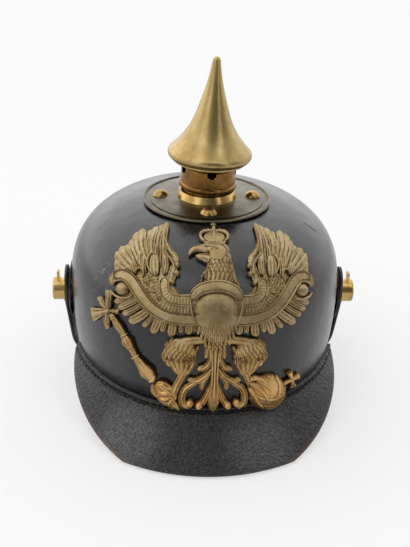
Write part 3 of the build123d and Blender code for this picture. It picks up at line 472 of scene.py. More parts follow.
def cockade_paint(name, rings):
    """Enamel rings on pleated tin: flat colours, chipped to dark metal."""
    material, tree, place = new_finish(name)
    parts = put(tree, "SeparateXYZ", {0: place}, "Y").node.outputs
    above_post = put(tree, "Math", {0: parts["Z"], 1: post_level}, operation="SUBTRACT")
    flat = put(tree, "CombineXYZ", {"X": parts["Y"], "Y": above_post})
    away = put(tree, "VectorMath", {0: flat}, "Value", operation="LENGTH")
    paints = [
        (put(tree, "MapRange", {0: away, 1: radius, 2: radius + ring_blur}), code)
        for radius, code in rings[1:]
    ]
    chips = put(tree, "TexNoise", {"Vector": place, "Scale": 1 / enamel_chip, "Detail": 6, "Roughness": 0.7})
    bare = put(tree, "MapRange", {0: chips, 1: 0.6, 2: 0.63})
    paints.append((bare, "#2b2622"))
    colour, relief = layered(tree, paint(rings[0][1]), paints, [(chips, 0.1)])
    return finish_with(material, {"Base Color": colour, "Roughness": 0.4, "Normal": relief})


def waxed_thread():
    """Waxed linen thread: matt, twisted, nearly black with dirt."""
    material, tree, place = new_finish("waxed_thread")
    twist = put(tree, "TexNoise", {"Vector": place, "Scale": 1 / twist_width, "Detail": 2})
    colour, relief = layered(tree, paint("#0c0b0b"), [(twist, "#1f1c19")], [(twist, 0.1)])
    return finish_with(material, {"Base Color": colour, "Roughness": 0.75, "Normal": relief})


def seamless_paper():
    """Matt white backdrop paper, lit through so that shadows stay faint: one even pale tone."""
    material = new_finish("seamless_paper")[0]
    glow = {"Emission Color": (1, 1, 1, 1), "Emission Strength": paper_glow}
    return finish_with(material, {"Base Color": paint("#8c8c8c"), "Roughness": 0.9, **glow})


# Shapes

def skull_share(level):
    """Share of the widest oval that the skull has at each height."""
    level = np.maximum(level, rim_level)
    below = 1 - rim_tuck / half_width * ((widest_level - level) / (widest_level - rim_level)) ** 2
    rise = np.clip((level - widest_level) / crown_rise, 0, 1)
    return np.where(level < widest_level, below, (1 - rise**crown_power) ** (1 / side_power))


def clear_of_skull(points):
    """Above zero where a point is outside the skull."""
    plan = np.hypot(points[:, 0] / half_width, points[:, 1] / half_length)
    return plan - skull_share(points[:, 2])


def skull_way(points):
    """Direction square to the skull at each point."""
    step = 0.05 * mm
    slopes = [clear_of_skull(points + step * e) - clear_of_skull(points - step * e) for e in np.eye(3)]
    ways = np.stack(slopes, 1)
    return ways / np.linalg.norm(ways, axis=1, keepdims=True)


def laid(flat):
    """Moves points of the flat emblem, given as across, rise and height, onto the skull."""
    flat = np.asarray(flat, float)
    start = np.stack(
        [flat[:, 0], flat[:, 1] * math.sin(emblem_tilt), flat[:, 1] * math.cos(emblem_tilt)], 1
    )
    way = np.array([0, -math.cos(emblem_tilt), math.sin(emblem_tilt)])
    near, far = np.zeros(len(flat)), np.full(len(flat), 2 * half_length)
    for _ in range(halvings):
        middle = (near + far) / 2
        inside = clear_of_skull(start + middle[:, None] * way) < 0
        near, far = np.where(inside, middle, near), np.where(inside, far, middle)
    seat = start + near[:, None] * way
    return seat + skull_way(seat) * flat[:, 2:3]


def over_visor(points):
    """Bends outwards what reaches below the visor's fold, so that it lies on the visor and not behind it."""
    below = np.clip(bend_level + fold_length / 2 - points[:, 2], 0, None)
    bent = below - fold_length * (1 - np.exp(-below / fold_length))
    out = skull_way(points) * (1, 1, 0)
    out /= np.linalg.norm(out, axis=1, keepdims=True)
    moved = points + bent[:, None] * (out + np.array([0, 0, fold_lift]))
    plan = np.hypot(moved[:, 0] / half_width, moved[:, 1] / half_length)
    away = clear_of_skull(moved) * np.hypot(moved[:, 0], moved[:, 1]) / plan
    leather = bend_level + soft_gap - away * math.tan(peak_slope)
    moved[:, 2] = np.where(below > 0, np.maximum(moved[:, 2], leather), moved[:, 2])
    return moved


def finished(mesh, name, material, body="helmet"):
    """Makes an object of a bmesh, smooth but for its sharp edges, that rides on a body."""
    data = bpy.data.meshes.new(name)
    mesh.to_mesh(data)
    mesh.free()
    for face in data.polygons:
        face.use_smooth = True
    data.set_sharp_from_angle(angle=sharp_angle)
    data.materials.append(material)
    piece = bpy.data.objects.new(name, data)
    bpy.context.scene.collection.objects.link(piece)
    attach(piece, body)
    return piece


def dress(node, material):
    """Gives a CAD node its finish."""
    nodes[node].data.materials.clear()
    nodes[node].data.materials.append(material)


# Emblem

def smooth(stations, count, crowding=1):
    """Rows of a smooth line through the stations, closer together near its end as crowding grows."""
    given = np.array(stations, float)
    ends = np.vstack([2 * given[0] - given[1], given, 2 * given[-1] - given[-2]])
    place = (1 - (1 - np.linspace(0, 1, count)) ** crowding) * (len(given) - 1)
    first = np.minimum(place.astype(int), len(given) - 2)
    t = (place - first)[:, None]
    a, b, c, d = ends[first], ends[first + 1], ends[first + 2], ends[first + 3]
    return 0.5 * (2 * b + (c - a) * t + (2 * a - 5 * b + 4 * c - d) * t**2 + (3 * b - a - 3 * c + d) * t**3)


def strip(flat, stations, top, along=16, across=8, round_root=True, round_tip=True, lean=0.0):
    """Adds a raised form to the flat emblem: stations give across, rise, half width and height in mm.

    top(place, side, height) gives the height and how rubbed and lit the surface is, for arrays of points; the
    latter goes to the rise layer, which paints highlight and shade. lean raises one long side over the other.
    """
    rows = smooth(stations, along + 1, tip_crowding if round_tip else 1)
    way = np.gradient(rows[:, :2], axis=0)
    way /= np.linalg.norm(way, axis=1, keepdims=True)
    lengths = np.append(0, np.cumsum(np.linalg.norm(np.diff(rows[:, :2], axis=0), axis=1)))
    width = np.maximum(rows[:, 2], form_width)
    for wanted, gone in ((round_root, lengths), (round_tip, lengths[-1] - lengths)):
        if wanted:
            cap = np.clip(gone / width, 0, 1)
            width = np.maximum(width * np.sqrt(1 - (1 - cap) ** 2), form_point)
    rise = flat.verts.layers.float["rise"]
    made = bmesh.ops.create_grid(flat, x_segments=along, y_segments=across, size=1)["verts"]
    u = np.array([v.co.x for v in made]) / 2 + 0.5
    side = np.array([v.co.y for v in made])
    row = np.rint(u * along).astype(int)
    height, rubbed_and_lit = top(lengths[row] / lengths[-1], side, rows[row, 3])
    height = height + lean * side
    x = rows[row, 0] - way[row, 1] * width[row] * side
    y = rows[row, 1] + way[row, 0] * width[row] * side
    # Each point's rise holds its painted highlight and shade, together with its rubbing
    for vert, *place, shine in zip(made, x, y, height, np.broadcast_to(rubbed_and_lit, x.shape)):
        vert.co = place
        vert[rise] = shine
    edges = [e for e in {e for v in made for e in v.link_edges} if e.is_boundary]
    wall = bmesh.ops.extrude_edge_only(flat, edges=edges)["geom"]
    low = {g for g in wall if isinstance(g, bmesh.types.BMVert)}
    # The walls' foot takes rise 0, the darkest painted shade
    for vert in low:
        vert.co.z = emblem_foot
        vert[rise] = 0
    rim = [g for g in wall if isinstance(g, bmesh.types.BMEdge) and low.issuperset(g.verts)]
    bmesh.ops.contextual_create(flat, geom=rim)
    return made


def strips(flat, forms, *how, **ends):
    """Adds several raised forms of one kind."""
    for stations in forms:
        strip(flat, stations, *how, **ends)


def rounded(side):
    """Height of a round section from side to side, as a share."""
    return np.sqrt(np.clip(1 - (roundness * side) ** 2, 0, 1))


def crowned(edge=0.45):
    """Rounded section, with the height at its edge as a share."""
    def top(place, side, height):
        # Painted highlight on the crest and painted shade towards the edges, together with rubbing
        rubbed_and_lit = crown_rub_and_light + (1 - crown_rub_and_light) * rounded(side)
        return height * (edge + (1 - edge) * rounded(side)), rubbed_and_lit
    return top


def feathered(ridges, depth=0.5, edge=0.6):
    """Rounded feather with grooves along it that run out before its tip."""
    def top(place, side, height):
        groove = (0.5 - 0.5 * np.cos(math.pi * ridges * side)) ** 2
        fade = np.clip((groove_end - place) / groove_fade, least_groove, 1)
        # Painted highlight on the crest and painted shade in the grooves, together with rubbing
        rubbed_and_lit = feather_rub_and_light + (1 - feather_rub_and_light) * rounded(side) - groove_shade * fade * groove
        return height * (edge + (1 - edge) * rounded(side)) - depth * fade * groove, rubbed_and_lit
    return top


def barred(bars, depth=0.22):
    """Flat band crossed by short raised bars."""
    def top(place, side, height):
        wave = 0.5 + 0.5 * np.cos(2 * math.pi * bars * place)
        # The bars carry a painted highlight, together with rubbing
        return height + depth * (wave - 1), bar_rub_and_light + bar_shine * wave
    return top


def corded(cord=0.5, marks=0):
    """Flat ribbon with a thin raised cord along each edge, and small marks along its middle."""
    def top(place, side, height):
        edge = np.exp(-(((np.abs(side) - cord_place) / cord_width) ** 2))
        gutter = np.exp(-(((np.abs(side) - gutter_place) / gutter_width) ** 2))
        wave = np.cos(2 * math.pi * marks * place) * (np.abs(side) < mark_reach)
        tick = mark_rise * wave if marks else 0
        # Painted highlight on the cords and painted shade in the gutters, together with rubbing
        rubbed_and_lit = ribbon_rub_and_light + cord_shine * edge - gutter_shade * gutter + tick
        return height + cord * edge - gutter_depth * gutter + tick, rubbed_and_lit
    return top


# Emblem's forms as stations of across, rise, half width and height in mm, and beads with a radius instead of
# the half width. Wing, leg, rails and tail leaves are drawn on one side, and the other side is their mirror
wing_field = (
    (-9, 37, 6, 1.1), (-20, 37.5, 7.5, 1.1), (-30, 42.5, 10.5, 1.1), (-38, 52, 13, 1.1), (-40, 61, 14, 1.1),
    (-38.4, 69, 10.6, 1.1), (-37, 76, 7, 1.1),
)
primaries = (
    ((-29.6, 60, 1.7, 2), (-29, 70, 2, 2.4), (-28.9, 79.4, 2.13, 2.3), (-27.2, 89, 1.88, 1.9)),
    ((-32.6, 60, 1.7, 1.7), (-32.6, 70, 2.1, 2.2), (-32.5, 78, 2.35, 2.1), (-29.9, 87.6, 2.12, 1.7)),
    ((-35.6, 60, 1.7, 2), (-35.8, 69, 2.1, 2.4), (-36.2, 77, 2.35, 2.3), (-33.2, 86.2, 2.12, 1.9)),
    ((-38, 60, 1.7, 1.7), (-38.2, 68, 1.9, 2.1), (-39.2, 76, 2.13, 2), (-37, 84.2, 1.88, 1.6)),
    ((-38.8, 59, 1.8, 2.2), (-39.4, 66, 2.2, 2.6), (-42, 74, 2.69, 2.5), (-42, 84.6, 2.88, 2)),
    ((-41, 59, 1.8, 1.9), (-42, 66, 2.2, 2.3), (-44.9, 74, 2.69, 2.2), (-45.5, 82.6, 2.62, 1.8)),
    ((-43, 59, 1.7, 1.6), (-44.2, 65, 1.9, 2), (-47, 72, 2.24, 1.9), (-48.6, 78.2, 2.12, 1.5)),
    ((-44, 58, 1.7, 1.4), (-46.2, 65, 1.8, 1.8), (-49, 70.6, 2.02, 1.7), (-51.4, 75, 1.88, 1.3)),
    ((-44.4, 58, 1.9, 2.1), (-47, 62.6, 2.4, 2.5), (-51, 68, 2.91, 2.5), (-54.6, 73.4, 3.12, 2)),
    ((-45, 57, 1.9, 1.8), (-49.2, 61.4, 2.4, 2.3), (-53.6, 65.8, 2.8, 2.2), (-57.4, 70.2, 2.88, 1.8)),
    ((-45, 55, 1.8, 1.7), (-50, 58.6, 2.1, 2.1), (-54, 61.8, 2.35, 2), (-57.8, 65.2, 2.38, 1.6)),
    ((-45, 53, 1.8, 1.6), (-50.4, 56, 2, 1.9), (-54.2, 58.8, 2.24, 1.8), (-57.8, 61, 2.12, 1.5)),
)
secondaries = (
    ((-12, 30.5, 1.5, 2.1), (-11, 28, 1.6, 2.2), (-10.4, 25, 1.5, 1.7)),
    ((-15, 30.5, 2, 2.4), (-14.2, 27.5, 2.5, 2.8), (-14, 23.4, 2.4, 2.1)),
    ((-19, 30.5, 1.6, 2), (-18.4, 28, 1.8, 2.2), (-18.6, 24.2, 1.7, 1.7)),
    ((-23, 31, 2.1, 2.5), (-23.2, 27.6, 2.7, 2.9), (-24, 22.2, 2.7, 2.2)),
    ((-27, 32, 1.7, 2), (-28, 28.6, 1.9, 2.2), (-29.4, 24.6, 1.8, 1.7)),
    ((-30, 33.5, 2.2, 2.5), (-32, 29.4, 2.7, 2.9), (-34.4, 23.6, 2.7, 2.2)),
    ((-33, 35.5, 1.7, 2), (-36.2, 31.4, 1.9, 2.2), (-40.2, 27.2, 1.8, 1.7)),
    ((-36, 37.5, 2.2, 2.5), (-41, 33.6, 2.9, 3), (-48, 29.8, 2.9, 2.2)),
    ((-40, 40.5, 1.7, 2), (-46, 36.6, 2, 2.2), (-52.2, 34.2, 1.9, 1.7)),
    ((-42, 43.5, 1.8, 2.3), (-48, 40.4, 2.2, 2.5), (-54.8, 37.6, 2.1, 1.9)),
    ((-44, 46.5, 1.8, 2.4), (-50, 43.4, 2, 2.6), (-57, 41.2, 1.9, 2)),
)
leaf_coverts = (
    ((-28.6, 56, 1.6, 3), (-27.4, 61, 2.2, 3.4), (-28, 68, 1.9, 2.8)),
    ((-44.4, 57, 1.5, 2.9), (-46, 60, 2, 3.2), (-46.8, 64.4, 1.6, 2.6)),
    ((-42, 61, 1.5, 2.8), (-42.4, 65, 1.9, 3.1), (-42.6, 70.4, 1.5, 2.5)),
    ((-39.4, 56, 1.6, 3), (-40.2, 61, 2.2, 3.4), (-39.6, 67.6, 1.8, 2.7)),
    ((-32.8, 66, 1.4, 2.8), (-33.2, 70, 1.7, 3), (-33, 74.4, 1.3, 2.4)),
    ((-33.4, 55, 2.2, 3.2), (-34, 61, 3.3, 3.8), (-34.2, 68.4, 2.6, 3)),
)
curls = (
    (
        (-34, 56, 0.5, 3.6), (-36.9, 59.6, 0.6, 4), (-37.8, 64.2, 0.6, 4), (-35.6, 68.4, 0.6, 3.8),
        (-32.8, 68, 0.5, 3.4),
    ),
    (
        (-40.4, 54.4, 0.5, 3.4), (-39.7, 57.4, 0.6, 3.8), (-41, 59.6, 0.6, 3.8), (-43.2, 59.8, 0.6, 3.6),
        (-44.6, 58.2, 0.5, 3.2),
    ),
    ((-36.9, 47.4, 0.5, 3.2), (-34.6, 47, 0.7, 3.4), (-32.2, 47, 0.5, 3.2)),
)
wing_edge = (
    (
        (-28.6, 80, 0.9, 2.3), (-27, 75, 1.2, 2.6), (-25, 70.6, 1.5, 2.8), (-22.4, 67.2, 1.7, 2.9),
        (-20.9, 63, 1.5, 2.8),
    ),
    (
        (-29, 72, 0.8, 3), (-26.8, 67.8, 1.1, 3.3), (-24.4, 65, 1.1, 3.4), (-22.8, 61.6, 1.1, 3.3),
        (-23.2, 56.6, 1, 3.1),
    ),
    ((-22.6, 63, 1.6, 2.4), (-23.6, 58, 2.4, 2.6), (-25, 52, 2.2, 2.6)),
)
wing_beads = ((-20.9, 62, 1.9, 3.8), (-21.2, 57.2, 1.9, 3.8), (-23.4, 52.2, 1.7, 3.6), (-52, 48.7, 4.3, 5.2))
arm = (
    (-9, 42, 3.6, 2.7), (-15, 42, 3.4, 2.9), (-20.6, 42.2, 3.1, 3), (-25.4, 43.9, 3, 3),
    (-27.8, 48.4, 3.1, 3), (-27.8, 54.4, 3, 2.8),
)
covert_band = (
    (-9, 36.8, 1.8, 2.3), (-14, 36.8, 1.8, 2.3), (-21.8, 37.4, 1.9, 2.4), (-28.6, 40.2, 2.7, 2.4),
    (-33.8, 45.8, 3.6, 2.4), (-36.8, 53, 4.6, 2.4), (-38, 57, 4.4, 2.2),
)
ribbon = (
    (-8.5, 31.9, 3.4, 2.9), (-14, 31.8, 3.5, 3), (-21, 32.2, 3.5, 3.1), (-27.6, 33.9, 3.4, 3.1),
    (-33.6, 37.3, 3.3, 3.2), (-38.6, 42, 3.4, 3.2), (-42.8, 47.6, 3.5, 3.3), (-46.8, 53.2, 3.5, 3.4),
    (-51.6, 56.4, 3.2, 3.3), (-56.8, 56, 2.8, 3.1),
)
ribbon_end = (
    (-53.4, 57.2, 1.6, 2.6), (-56.8, 56.2, 2.2, 3.2), (-58.4, 53.6, 2, 3.2), (-57.4, 50.8, 1.4, 2.9),
)
boss_loops = (
    (
        (-58.6, 47.6, 0.6, 3), (-56.4, 45.2, 0.7, 3.3), (-52.4, 43.6, 0.8, 3.5), (-48.4, 43.8, 0.8, 3.5),
        (-46, 45.6, 0.6, 3.2),
    ),
    ((-58.2, 51.6, 0.5, 3.3), (-54.8, 53.3, 0.6, 3.6), (-50.8, 53, 0.6, 3.7), (-47.6, 50.2, 0.5, 3.5)),
)
thigh_barbs = (
    ((-9.4, 17.6, 1.3, 3), (-12.4, 11.6, 1.6, 3.3), (-13.2, 5, 1.5, 3.1), (-17.4, -1.4, 0.8, 2.4)),
    ((-12.4, 19.2, 1.6, 3.2), (-15.6, 12, 2, 3.5), (-16.2, 5, 1.7, 3.2), (-18.4, -1.8, 0.8, 2.5)),
    ((-16.2, 19.8, 1.8, 3.2), (-19, 12, 2.2, 3.6), (-18.9, 5, 1.8, 3.3), (-19.2, -2, 0.8, 2.5)),
    ((-20.4, 19.2, 1.8, 3.2), (-22.6, 12, 2.3, 3.6), (-21.3, 5, 1.8, 3.2), (-19.9, -1.6, 0.8, 2.4)),
    ((-24.6, 18.2, 1.8, 3.1), (-26.2, 11.6, 2.2, 3.4), (-23.8, 5, 1.7, 3), (-20.8, -0.4, 0.8, 2.3)),
    ((-26.6, 16, 1.5, 2.9), (-28, 10.8, 1.8, 3.1), (-25.8, 4.6, 1.3, 2.6)),
    ((-28.6, 13.8, 1.1, 2.6), (-29.6, 10.6, 1.2, 2.7), (-28.2, 7.4, 0.9, 2.3)),
)
thigh_cap = (
    (-4.6, 20.6, 2, 3.2), (-11.4, 20.2, 2.3, 3.7), (-18.6, 19.2, 2.4, 3.9), (-25, 16.8, 2, 3.7),
    (-29, 12.8, 1.2, 3),
)
thigh_field = (
    (-17.2, 21, 8.6, 3.6), (-18.8, 16.6, 9.4, 3.9), (-19.8, 12.4, 9.8, 3.8), (-20.2, 8.4, 8.8, 3.3),
)
shank = (
    (-17.8, 1.2, 2.4, 2.9), (-19.4, -2.6, 2.2, 3), (-21.4, -6.6, 2.1, 3), (-22.9, -10.4, 2.3, 3.1),
    (-23.4, -14, 2.2, 3),
)
stem_tabs = ((-4.2, 19, 1.5, 2.8), (-4.8, 14, 1.6, 2.9), (-5.2, 9.6, 1.2, 2.4))
tail_leaves = (
    ((-2.2, 12.4, 1, 2.6), (-3.4, 7.4, 1.6, 3), (-5.9, 4, 1.8, 3.2), (-9.9, 3.2, 1.7, 3)),
    (
        (-2, 4, 1, 2.6), (-3.8, 0.8, 1.7, 3), (-7.5, -2.6, 1.8, 3.2), (-11.6, -4.4, 1.8, 3.2),
        (-15.2, -3, 1.5, 2.9),
    ),
    ((-3, 1.4, 1, 2.4), (-4.6, -1.6, 1.4, 2.7), (-6.9, -5.2, 1.6, 2.9), (-7.2, -9.8, 1.1, 2.3)),
    (
        (-9.6, -4.6, 1, 2.6), (-12.6, -6.2, 1.7, 2.9), (-16.4, -8.8, 1.9, 3.1), (-18.4, -14, 2.1, 3.3),
        (-17.8, -18.8, 2.2, 3.3), (-14.6, -21.2, 2.2, 3.2),
    ),
    (
        (-1.4, -4, 1, 2.6), (-2.9, -9, 1.4, 2.9), (-4.6, -13.6, 1.6, 3.1), (-6.6, -17.6, 1.8, 3.2),
        (-8.6, -21, 1.9, 3.1),
    ),
)
tail_beads = ((-13.7, -18.4, 2.7, 5.2), (-8.4, -19.6, 2.6, 5.2))
tail_axis = 1.2
stem = (
    (0, 20, 4.6, 2.8), (0, 14, 4.3, 3), (0, 9.4, 3.6, 3.1), (0, 3.4, 2.7, 3.2), (0, -3, 2.6, 3.3),
    (0, -8, 3.1, 3.4), (0, -13, 3.8, 3.5), (0, -17, 3.8, 3.4), (0, -21, 2.6, 3.2), (0, -25, 0.7, 2.4),
)
stem_rails = (
    (-1.9, 17, 0.5, 3.4), (-1.7, 9, 0.6, 3.8), (-1.5, 0, 0.6, 4), (-1.9, -8, 0.6, 4.1), (-3.6, -14, 0.6, 4),
    (-5.8, -18.6, 0.5, 3.6),
)
neck = (
    (1.2, 49, 12.6, 3.4), (1.9, 53, 10.8, 3.8), (2.8, 57, 8.4, 4), (3.2, 61, 7.2, 4.1), (3, 66, 6.6, 4.1),
    (1.8, 71, 6.4, 3.9), (0.8, 74, 6, 3.6),
)
cheek = (
    (4.2, 63.4, 4.6, 4.6), (2.6, 67.6, 5.6, 5), (0, 70.8, 3.8, 5.1), (-4, 72.2, 1.7, 4.6),
    (-8.2, 72.4, 0.6, 3.8),
)
nape = (
    ((5.4, 74.2, 1.3, 3.4), (7.6, 72.6, 1.2, 3), (9.6, 70.2, 0.5, 2.2)),
    ((6, 71, 1.5, 3.4), (8.4, 68.8, 1.3, 3), (10.2, 65.8, 0.5, 2.2)),
    ((6.6, 67, 1.5, 3.4), (9, 64.8, 1.4, 3), (11, 61.6, 0.5, 2.2)),
    ((7.4, 63, 1.6, 3.4), (9.8, 60.6, 1.4, 3), (11.9, 57.2, 0.5, 2.2)),
    ((8.8, 59, 1.6, 3.4), (11, 56.6, 1.4, 3), (13.2, 53.2, 0.5, 2.2)),
    ((10.4, 55.4, 1.6, 3.3), (12.4, 52.8, 1.4, 3), (14.6, 49.4, 0.6, 2.2)),
)
breast = (
    (1.3, 49, 12.6, 3.2), (1.3, 44, 12.8, 4), (1.3, 37, 12.2, 4.5), (1.4, 30, 11.4, 4.4), (1.4, 24.5, 9.8, 4),
    (1.3, 19.5, 6.2, 3.4), (1.2, 17, 3.4, 3),
)
collar_band = (
    (-13, 42.6, 2.4, 4.4), (-8.6, 47, 2.9, 4.9), (-3.4, 48.8, 3.1, 5.2), (1.4, 49.3, 3.1, 5.3),
    (6.4, 48.8, 3.1, 5.2), (11.2, 46.9, 2.9, 4.9), (15.2, 42.8, 2.4, 4.4),
)
chest_rims = (
    (
        (-12.4, 47, 0.5, 3.4), (-13.2, 43, 0.7, 3.8), (-12.4, 36, 0.7, 3.8), (-10.2, 30, 0.6, 3.6),
        (-8.4, 26, 0.4, 3.4),
    ),
    (
        (14.8, 47, 0.5, 3.4), (15.6, 43, 0.7, 3.8), (15, 36, 0.7, 3.8), (12.8, 30, 0.6, 3.6),
        (11, 26, 0.4, 3.4),
    ),
)
upper_beak = (
    (-1, 70, 2.8, 4.2), (-5.6, 71, 2.1, 4.3), (-9.6, 71.2, 1.6, 4), (-12.6, 70, 1.4, 3.5),
    (-14.3, 67.4, 0.5, 2.6),
)
lower_beak = ((0.6, 64.8, 2.6, 3.6), (-3.4, 65.6, 2.5, 3.8), (-7.2, 66.6, 1.8, 3.5), (-10.4, 67, 0.7, 2.8))
brow = ((-5.2, 71.6, 0.5, 5.2), (-1.4, 71.4, 0.7, 5.9), (2.6, 69.6, 0.5, 5.8))
eye = (-1.2, 69.4, 1, 6)
crown_field = ((1, 74, 5.4, 2.9), (1, 77, 6.8, 3), (1, 80, 7.4, 3), (1, 82.6, 4.6, 2.7))
crown_axis = 1
crown_sides = (
    (
        (-4.4, 75.4, 0.9, 3), (-7, 78.6, 1, 3.4), (-6.6, 81.2, 1, 3.4), (-3.6, 82.6, 0.9, 3.4),
        (0.2, 82.6, 0.7, 3.2),
    ),
    ((-3, 76.4, 0.7, 2.8), (-3.8, 78.6, 1.4, 3), (-3.2, 81, 0.6, 2.8)),
)
crown_forms = (
    ((1, 75.4, 1.1, 3.2), (1, 79, 1.2, 3.8), (1, 83, 1, 3.4)),
    ((-5.4, 74.8, 1.2, 3.7), (1, 74, 1.3, 4.3), (7.4, 74.8, 1.2, 3.7)),
    ((1, 84.6, 0.5, 3), (1, 88.2, 0.6, 2.6)),
    ((-0.6, 87, 0.5, 2.6), (2.6, 87, 0.5, 2.6)),
)
crown_beads = ((1, 84.2, 1.5, 3.8), (1, 74.2, 0.7, 5.3), (1, 79, 0.7, 4.6), (1, 81.2, 0.6, 4.4))
crown_side_beads = (
    (-3.2, 74.6, 0.6, 4.9), (-1.1, 74.3, 0.6, 5.1), (-7.4, 80.2, 0.7, 4), (-5.2, 82.4, 0.7, 4),
    (-2.4, 83.2, 0.6, 3.9),
)
staff = (
    (-59.4, 34.6, 2, 2.6), (-57.6, 31.7, 1.6, 2.6), (-56.1, 29.2, 2, 2.9), (-54.6, 27, 2.2, 3),
    (-52.8, 24.4, 2, 2.9), (-51.2, 21.6, 1.8, 2.8), (-49.5, 18.3, 3.1, 3.6), (-47.4, 14.8, 2, 3),
    (-45.6, 11.6, 1.7, 2.8), (-44.2, 8.8, 1.8, 2.8), (-42.2, 6, 2.5, 3.2), (-40.2, 3.3, 3.1, 3.6),
    (-37.8, 0, 4, 4), (-35.6, -3, 3, 3.4), (-33.6, -5.6, 2.4, 3),
)
staff_rings = (
    ((-59, 30.9, 0.6, 2.6), (-57.6, 31.7, 0.6, 3.6), (-56.3, 32.6, 0.6, 2.6)),
    ((-53.1, 20.7, 0.6, 2.6), (-51.3, 21.9, 0.7, 3.9), (-49.5, 23.1, 0.6, 2.6)),
    ((-49.4, 13.8, 0.6, 2.6), (-47.7, 15, 0.6, 3.8), (-46, 16.1, 0.6, 2.6)),
    ((-46.8, 8, 0.6, 2.6), (-44.6, 9.2, 0.6, 3.8), (-42.5, 10.5, 0.6, 2.6)),
    ((-36.4, -5.8, 0.8, 2.8), (-34.6, -4.5, 0.8, 4.2), (-32.8, -3.1, 0.8, 2.8)),
)
acanthus = (
    ((-33.2, -6.6, 1.4, 3), (-33.6, -10.6, 2, 3.4), (-30.4, -15.4, 1.5, 2.8)),
    ((-32.6, -6.2, 1.4, 3), (-28, -6.8, 2, 3.4), (-23.6, -9.6, 1.5, 2.9)),
    ((-30.6, -10.4, 1.6, 3.2), (-29.6, -15.4, 2, 3.4), (-25.4, -19.6, 1.4, 2.8)),
    ((-28.6, -8.8, 1.6, 3.2), (-23.6, -11.4, 2.1, 3.5), (-20.6, -16, 1.5, 3)),
    (
        (-32.4, -6.8, 1.8, 3.4), (-28.6, -10.8, 2.8, 4.2), (-24.8, -15.2, 2.8, 4.2), (-21.4, -19.4, 2, 3.6),
        (-17.8, -23.2, 0.8, 2.6),
    ),
    ((-26.8, -15.8, 1.4, 3), (-24.6, -19.6, 1.6, 3.1), (-21.2, -22.2, 1.1, 2.6)),
)
finial_leaves = (
    ((-61.4, 36, 1.4, 2.7), (-66, 34.8, 2.6, 3), (-71, 33.6, 4.4, 2.6)),
    ((-61, 36.4, 1.3, 2.7), (-60.6, 42, 1.7, 3), (-60.2, 48, 2.3, 2.6)),
    ((-61.4, 36.6, 1.1, 2.6), (-64.4, 40.6, 1.4, 2.9), (-66.6, 44, 1.6, 2.5)),
    ((-61.2, 35.4, 1.3, 2.6), (-62, 30.6, 1.7, 2.9), (-61.4, 25.6, 0.9, 2.4)),
    ((-60.4, 36, 1.1, 2.6), (-57.4, 36.2, 1.2, 2.7), (-54.4, 35.6, 1.5, 2.5)),
)
finial_bead = (-61, 36, 1.7, 4.2)
orb_place = (33.8, -12.6)
orb_radius = 11.8
orb_rise = 7.4
orb_rim = 0.08
orb_lift = 0.3
orb_bands = (
    ((22, -14.4, 1, 0), (27, -17.6, 1.2, 0), (33.4, -18.8, 1.2, 0), (40, -17.4, 1.2, 0), (45.2, -14, 1, 0)),
    (
        (22.4, -10, 0.9, 0), (27.2, -12.6, 1.1, 0), (33.2, -13.8, 1.1, 0), (39.6, -12.6, 1.1, 0),
        (45.4, -9.6, 0.9, 0),
    ),
    ((37.8, -1.2, 1, 0), (38.8, -5, 1.1, 0), (38.6, -9.4, 1.1, 0), (37.6, -13, 1, 0)),
)
orb_claws = (
    ((21.6, -3.4, 1.2, 0), (25.4, -2.4, 1.4, 0), (29.8, -4.4, 1.2, 0), (32.6, -8.2, 0.5, 0)),
    ((21.4, -5.6, 1.3, 0), (25.2, -6.6, 1.5, 0), (28.8, -9.6, 1.2, 0), (30.6, -13.8, 0.5, 0)),
    ((21.4, -7.6, 1.3, 0), (23.4, -11.6, 1.4, 0), (25.6, -15.8, 1.2, 0), (29.6, -19.4, 0.5, 0)),
)
cross_arms = (
    ((43.6, -8, 1.2, 3), (46.4, -6.6, 1, 2.8), (49.4, -5.4, 1.3, 2.8)),
    ((49, -5.4, 0.9, 3), (52, -4.5, 1.2, 2.9), (54.4, -3.8, 2.2, 2.6)),
    ((49.2, -5.4, 0.9, 3), (48.1, -2.8, 1.2, 2.9), (47.3, -0.6, 2.2, 2.6)),
    ((49.2, -5.4, 0.9, 3), (50.1, -8, 1.2, 2.9), (50.9, -10.2, 2.2, 2.6)),
)
toes = (
    ((-22.6, -12.4, 1.4, 3.6), (-26.6, -11.8, 1.6, 5), (-30.4, -10.4, 0.6, 3.8)),
    ((-22.8, -13.6, 1.4, 3.6), (-26.4, -15.2, 1.6, 5.2), (-29.6, -14.6, 0.6, 3.8)),
    ((-22.6, -14.8, 1.4, 3.4), (-24.2, -18.6, 1.5, 4.6), (-22.6, -22, 0.6, 3)),
)


def beads(flat, places, rings=3):
    """Adds domed beads to the flat emblem."""
    layer = flat.verts.layers.float["rise"]
    for across, rise, radius, height in places:
        for vert in bmesh.ops.create_icosphere(flat, subdivisions=rings, radius=1)["verts"]:
            # Painted highlight on the bead's top and painted shade towards its foot
            vert[layer] = max(least_rub_and_light, vert.co.z)
            level = height * max(vert.co.z, bead_back)
            vert.co = (across + radius * vert.co.x, rise + radius * vert.co.y, level)


